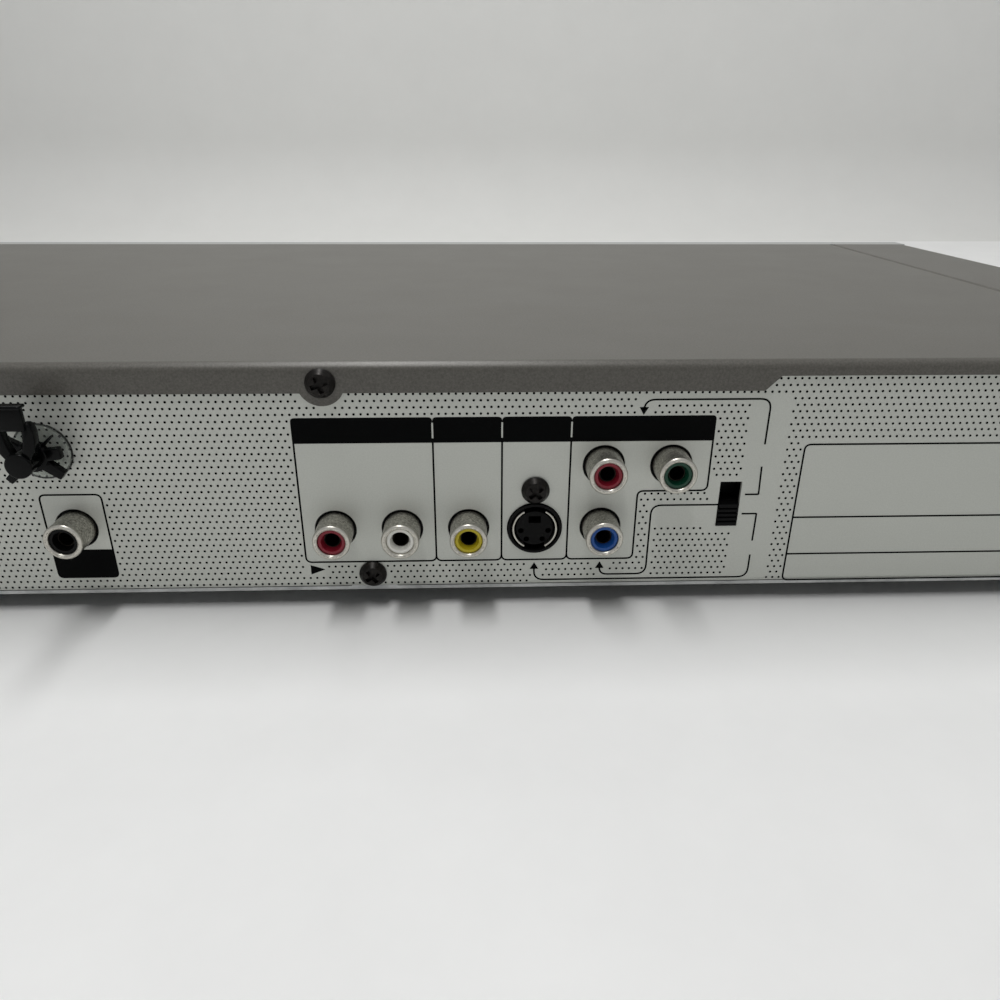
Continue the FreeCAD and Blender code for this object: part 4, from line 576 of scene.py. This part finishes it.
# Circuit boards: glass-epoxy on posts of the chassis, with copper tracks under a green solder resist and
# tinned pads. The resist is clear and glossy, with the tracks lighter under it and the pads a dull grey.
def build_circuit():
    material = surface("green_solder_resist", "#123f24", "#1a5430", rough=0.30, grain=1.1, bump=0.05,
                       depth=0.02, Coat_Weight=0.4)
    tree = material.node_tree
    shader = tree.nodes["Principled BSDF"]
    resist = shader.inputs["Base Color"].links[0].from_socket
    place = add_node(tree, "ShaderNodeTexCoord").outputs["Object"]
    bricks = add_node(tree, "ShaderNodeTexBrick", {"offset": 0.37, "squash": 1.6}, Vector=place, Scale=130.0,
                      Mortar_Size=0.055, Brick_Width=0.9, Row_Height=0.22)
    tracks = add_node(tree, "ShaderNodeMix", {"data_type": "RGBA"}, _0=bricks.outputs["Fac"], _6=resist,
                      _7=srgb("#2c7a47"))
    cells = add_node(tree, "ShaderNodeTexVoronoi", Vector=place, Scale=260.0)
    pads = add_node(tree, "ShaderNodeMath", {"operation": "LESS_THAN"}, _0=cells.outputs["Distance"],
                    _1=0.16)
    mixed = add_node(tree, "ShaderNodeMix", {"data_type": "RGBA"}, _0=pads.outputs[0], _6=tracks.outputs[2],
                     _7=srgb("#a8aaa4"))
    tree.links.new(mixed.outputs[2], shader.inputs["Base Color"])
    return material


dress(build_circuit(), "main_board", "power_board", "front_board")


# Parts on the boards: moulded epoxy chips and key switches, dry and slightly rough, capacitors in a shrunk
# sleeve of dark blue film with a soft gloss, and a transformer of sintered ferrite, as dull as slate.
chip_epoxy = surface("chip_epoxy", "#151516", "#232325", rough=0.55, grain=0.55, bump=0.3)
sleeve_film = surface("capacitor_sleeve", "#0f1220", "#1b2136", rough=0.30, grain=2.0, bump=0.05,
                      depth=0.03)
ferrite = surface("ferrite", "#1f1f21", "#313134", rough=0.62, grain=1.4, bump=0.3, depth=0.10)
dress(chip_epoxy, "board_chips", "key_switches")
dress(sleeve_film, "capacitors")
dress(ferrite, "power_transformer")


# Heat sink and ribbon cable: a length of extruded aluminium with a low silky sheen, and a flat cable in
# plain grey vinyl, soft to the eye.
aluminium = surface("extruded_aluminium", "#a8aaac", "#c0c2c4", rough=0.33, metallic=1.0, grain=4.0,
                    bump=0.08, depth=0.03)
ribbon_vinyl = surface("ribbon_insulation", "#8e8f90", "#a3a4a5", rough=0.50, grain=1.1, bump=0.05,
                       depth=0.03)
dress(aluminium, "heat_sink")
dress(ribbon_vinyl, "ribbon_cable")


# Loader frame, traverse and tray: moulded in dark plastic. The frame has a fine even grain and little
# gloss, and the tray a slightly livelier one, as on the part that is seen when it slides out.
loader_plastic = surface("loader_plastic", "#1b1b1d", "#29292c", rough=0.50, grain=0.65, bump=0.15,
                         depth=0.06)
tray_plastic = surface("tray_plastic", "#232326", "#303034", rough=0.46, grain=0.45, bump=0.22, depth=0.06)
dress(loader_plastic, "loader_frame", "traverse_frame")
dress(tray_plastic, "disc_tray")


# Gears, cam slider and belt: gears and slider moulded in natural acetal, a milky white with a waxy gloss,
# and a square belt of the same rubber as the feet.
acetal = surface("white_acetal", "#d6d5cd", "#e2e1da", rough=0.38, grain=2.0, bump=0.05, depth=0.03)
dress(acetal, "tray_gear", "pulley_gear", "cam_slider", "feed_gear", "feed_pinion", "motor_pulley")
dress(rubber, "drive_belt")


# Motors and guide rods: cans drawn from plated steel, with smooth clouded reflections, and ground rods with
# the bright plate of the jacks' lips.
motor_steel = surface("drawn_motor_steel", "#8f9090", "#b5b6b5", rough=0.28, metallic=1.0, grain=2.4,
                      bump=0.04, depth=0.02)
dress(motor_steel, "loading_motor", "feed_motor", "spindle_motor")
dress(rolled_nickel, "guide_rods")


# Pickup sled, turntable and clamper: die-cast alloy, grey with the fine orange-peel skin of a casting, and
# a clamper of pale moulded plastic with a quiet gloss.
cast_alloy = surface("die_cast_alloy", "#7d7f80", "#9c9e9f", rough=0.44, metallic=1.0, grain=1.1, bump=0.25,
                     depth=0.10)
clamper_plastic = surface("clamper_plastic", "#c6c5be", "#d5d4ce", rough=0.42, grain=1.4, bump=0.06,
                          depth=0.03)
dress(cast_alloy, "turntable", "pickup_sled")
dress(clamper_plastic, "clamper")


# Front panel, tray door, keys and window: moulded ABS with a metallic silver lacquer, which shines softly,
# with a flake drawn coarser than the real one, and a window of smoked acrylic, black and glossy as glass.
silver_lacquer = surface("silver_lacquer", "#a9abaa", "#bdbfbe", rough=0.34, metallic=0.45, grain=0.36,
                         bump=0.08, depth=0.03)
smoked_acrylic = surface("smoked_acrylic", "#050506", "#09090b", rough=0.08, grain=3.3, bump=0.0,
                         depth=0.01, wear=0.02, Coat_Weight=0.6)
dress(silver_lacquer, "front_panel", "tray_door", "power_button", "open_close_button", "play_button",
      "stop_button", "skip_rocker")
dress(smoked_acrylic, "display_window", "display_module")


# Symbols on the keys: small plain signs, pad-printed in a flat dark grey. They are a triangle over a bar, a
# triangle, a square, double triangles with a bar, and a broken ring with a stroke.
key_ink = surface("key_ink", "#26282a", "#303234", rough=0.50, grain=0.4, bump=0.05, depth=0.02)
symbols = {
    "open_close_button": [[(-1.6, -0.2), (1.6, -0.2), (0.0, 1.6)],
                          [(-1.6, -1.5), (1.6, -1.5), (1.6, -0.8), (-1.6, -0.8)]],
    "play_button": [[(-1.2, -1.5), (1.6, 0.0), (-1.2, 1.5)]],
    "stop_button": [[(-1.3, -1.3), (1.3, -1.3), (1.3, 1.3), (-1.3, 1.3)]],
    "skip_rocker": [
        [(side * x, z) for x, z in shape] for side in (-1, 1) for shape in (
            [(8.6, -1.1), (10.3, 0.0), (8.6, 1.1)], [(10.3, -1.1), (12.0, 0.0), (10.3, 1.1)],
            [(12.0, -1.1), (12.4, -1.1), (12.4, 1.1), (12.0, 1.1)])],
    "power_button": [[(-0.2, 0.4), (0.2, 0.4), (0.2, 2.2), (-0.2, 2.2)]],
}
ring_radii = (1.6, 2.0)
ring_start, ring_turn = math.radians(125), math.radians(290)


def build_symbol(bm, button):
    low, high = ([value / MM for value in corner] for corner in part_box(button))
    x, z, face = (low[0] + high[0]) / 2, (low[2] + high[2]) / 2, low[1] - ink_rise
    for shape in symbols[button]:
        bm.faces.new([bm.verts.new((x + dx, face, z + dz)) for dx, dz in shape])
    if button == "power_button":
        along, up = math.cos(ring_start), math.sin(ring_start)
        inner, outer = (bm.verts.new((x + radius * along, face, z + radius * up)) for radius in ring_radii)
        bmesh.ops.spin(bm, geom=[inner, outer, bm.edges.new((inner, outer))], cent=(x, face, z),
                       axis=(0, -1, 0), angle=ring_turn, steps=28)


for button in symbols:
    symbol = make_piece(button + "_symbol", lambda bm: build_symbol(bm, button), key_ink, flat=-1)
    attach(symbol, button)


# Top cover: folded steel sheet with a stoved grey paint, held by the screws. The paint is satin and faintly
# speckled. It takes a soft sheen of the room on the flat top and turns dark on the lip over the rear panel.
# The speckle is drawn coarser than the real one.
cover_paint = surface("stoved_grey_paint", "#484640", "#66635d", rough=0.40, metallic=0.10, grain=0.42,
                      bump=0.16, depth=0.10, wear=0.015, spread=0.5)
dress(cover_paint, "top_cover")


# Lights: a long soft lamp overhead, straight above the rear panel, which leaves the panel to the light that
# the table throws back, a weak one on the wall, and an even pale surround that metal and gloss reflect.
def soft_light(name, size, power, location, target):
    data = bpy.data.lights.new(name, "AREA")
    data.shape = "RECTANGLE"
    data.size, data.size_y = size
    data.energy = power
    light = bpy.data.objects.new(name, data)
    light.location = location
    light.rotation_euler = (Vector(target) - Vector(location)).to_track_quat("-Z", "Y").to_euler()
    bpy.context.scene.collection.objects.link(light)


soft_light("overhead", size=(1.3, 0.12), power=12.1, location=(0.10, 0.080, 1.20),
           target=(0.04, 0.080, 0.0))
soft_light("backdrop", size=(0.6, 0.3), power=1.0, location=(-0.80, -0.25, 0.75),
           target=(-0.75, -0.72, 0.20))
fill_level, view_level, mirror_level = 0.12, 0.90, 0.62
world = bpy.data.worlds.new("surround")
world.use_nodes = True
sky = world.node_tree
rays = add_node(sky, "ShaderNodeLightPath").outputs
strength = fill_level
for ray, level in (("Is Camera Ray", view_level), ("Is Glossy Ray", mirror_level),
                   ("Is Transmission Ray", mirror_level)):
    seen = add_node(sky, "ShaderNodeMath", {"operation": "MULTIPLY"}, _0=rays[ray], _1=level).outputs[0]
    strength = add_node(sky, "ShaderNodeMath", {"operation": "MAXIMUM"}, _0=seen, _1=strength).outputs[0]
sky.links.new(strength, sky.nodes["Background"].inputs["Strength"])
sky.nodes["Background"].inputs["Color"].default_value = srgb("#e6e8ea")
bpy.context.scene.world = world
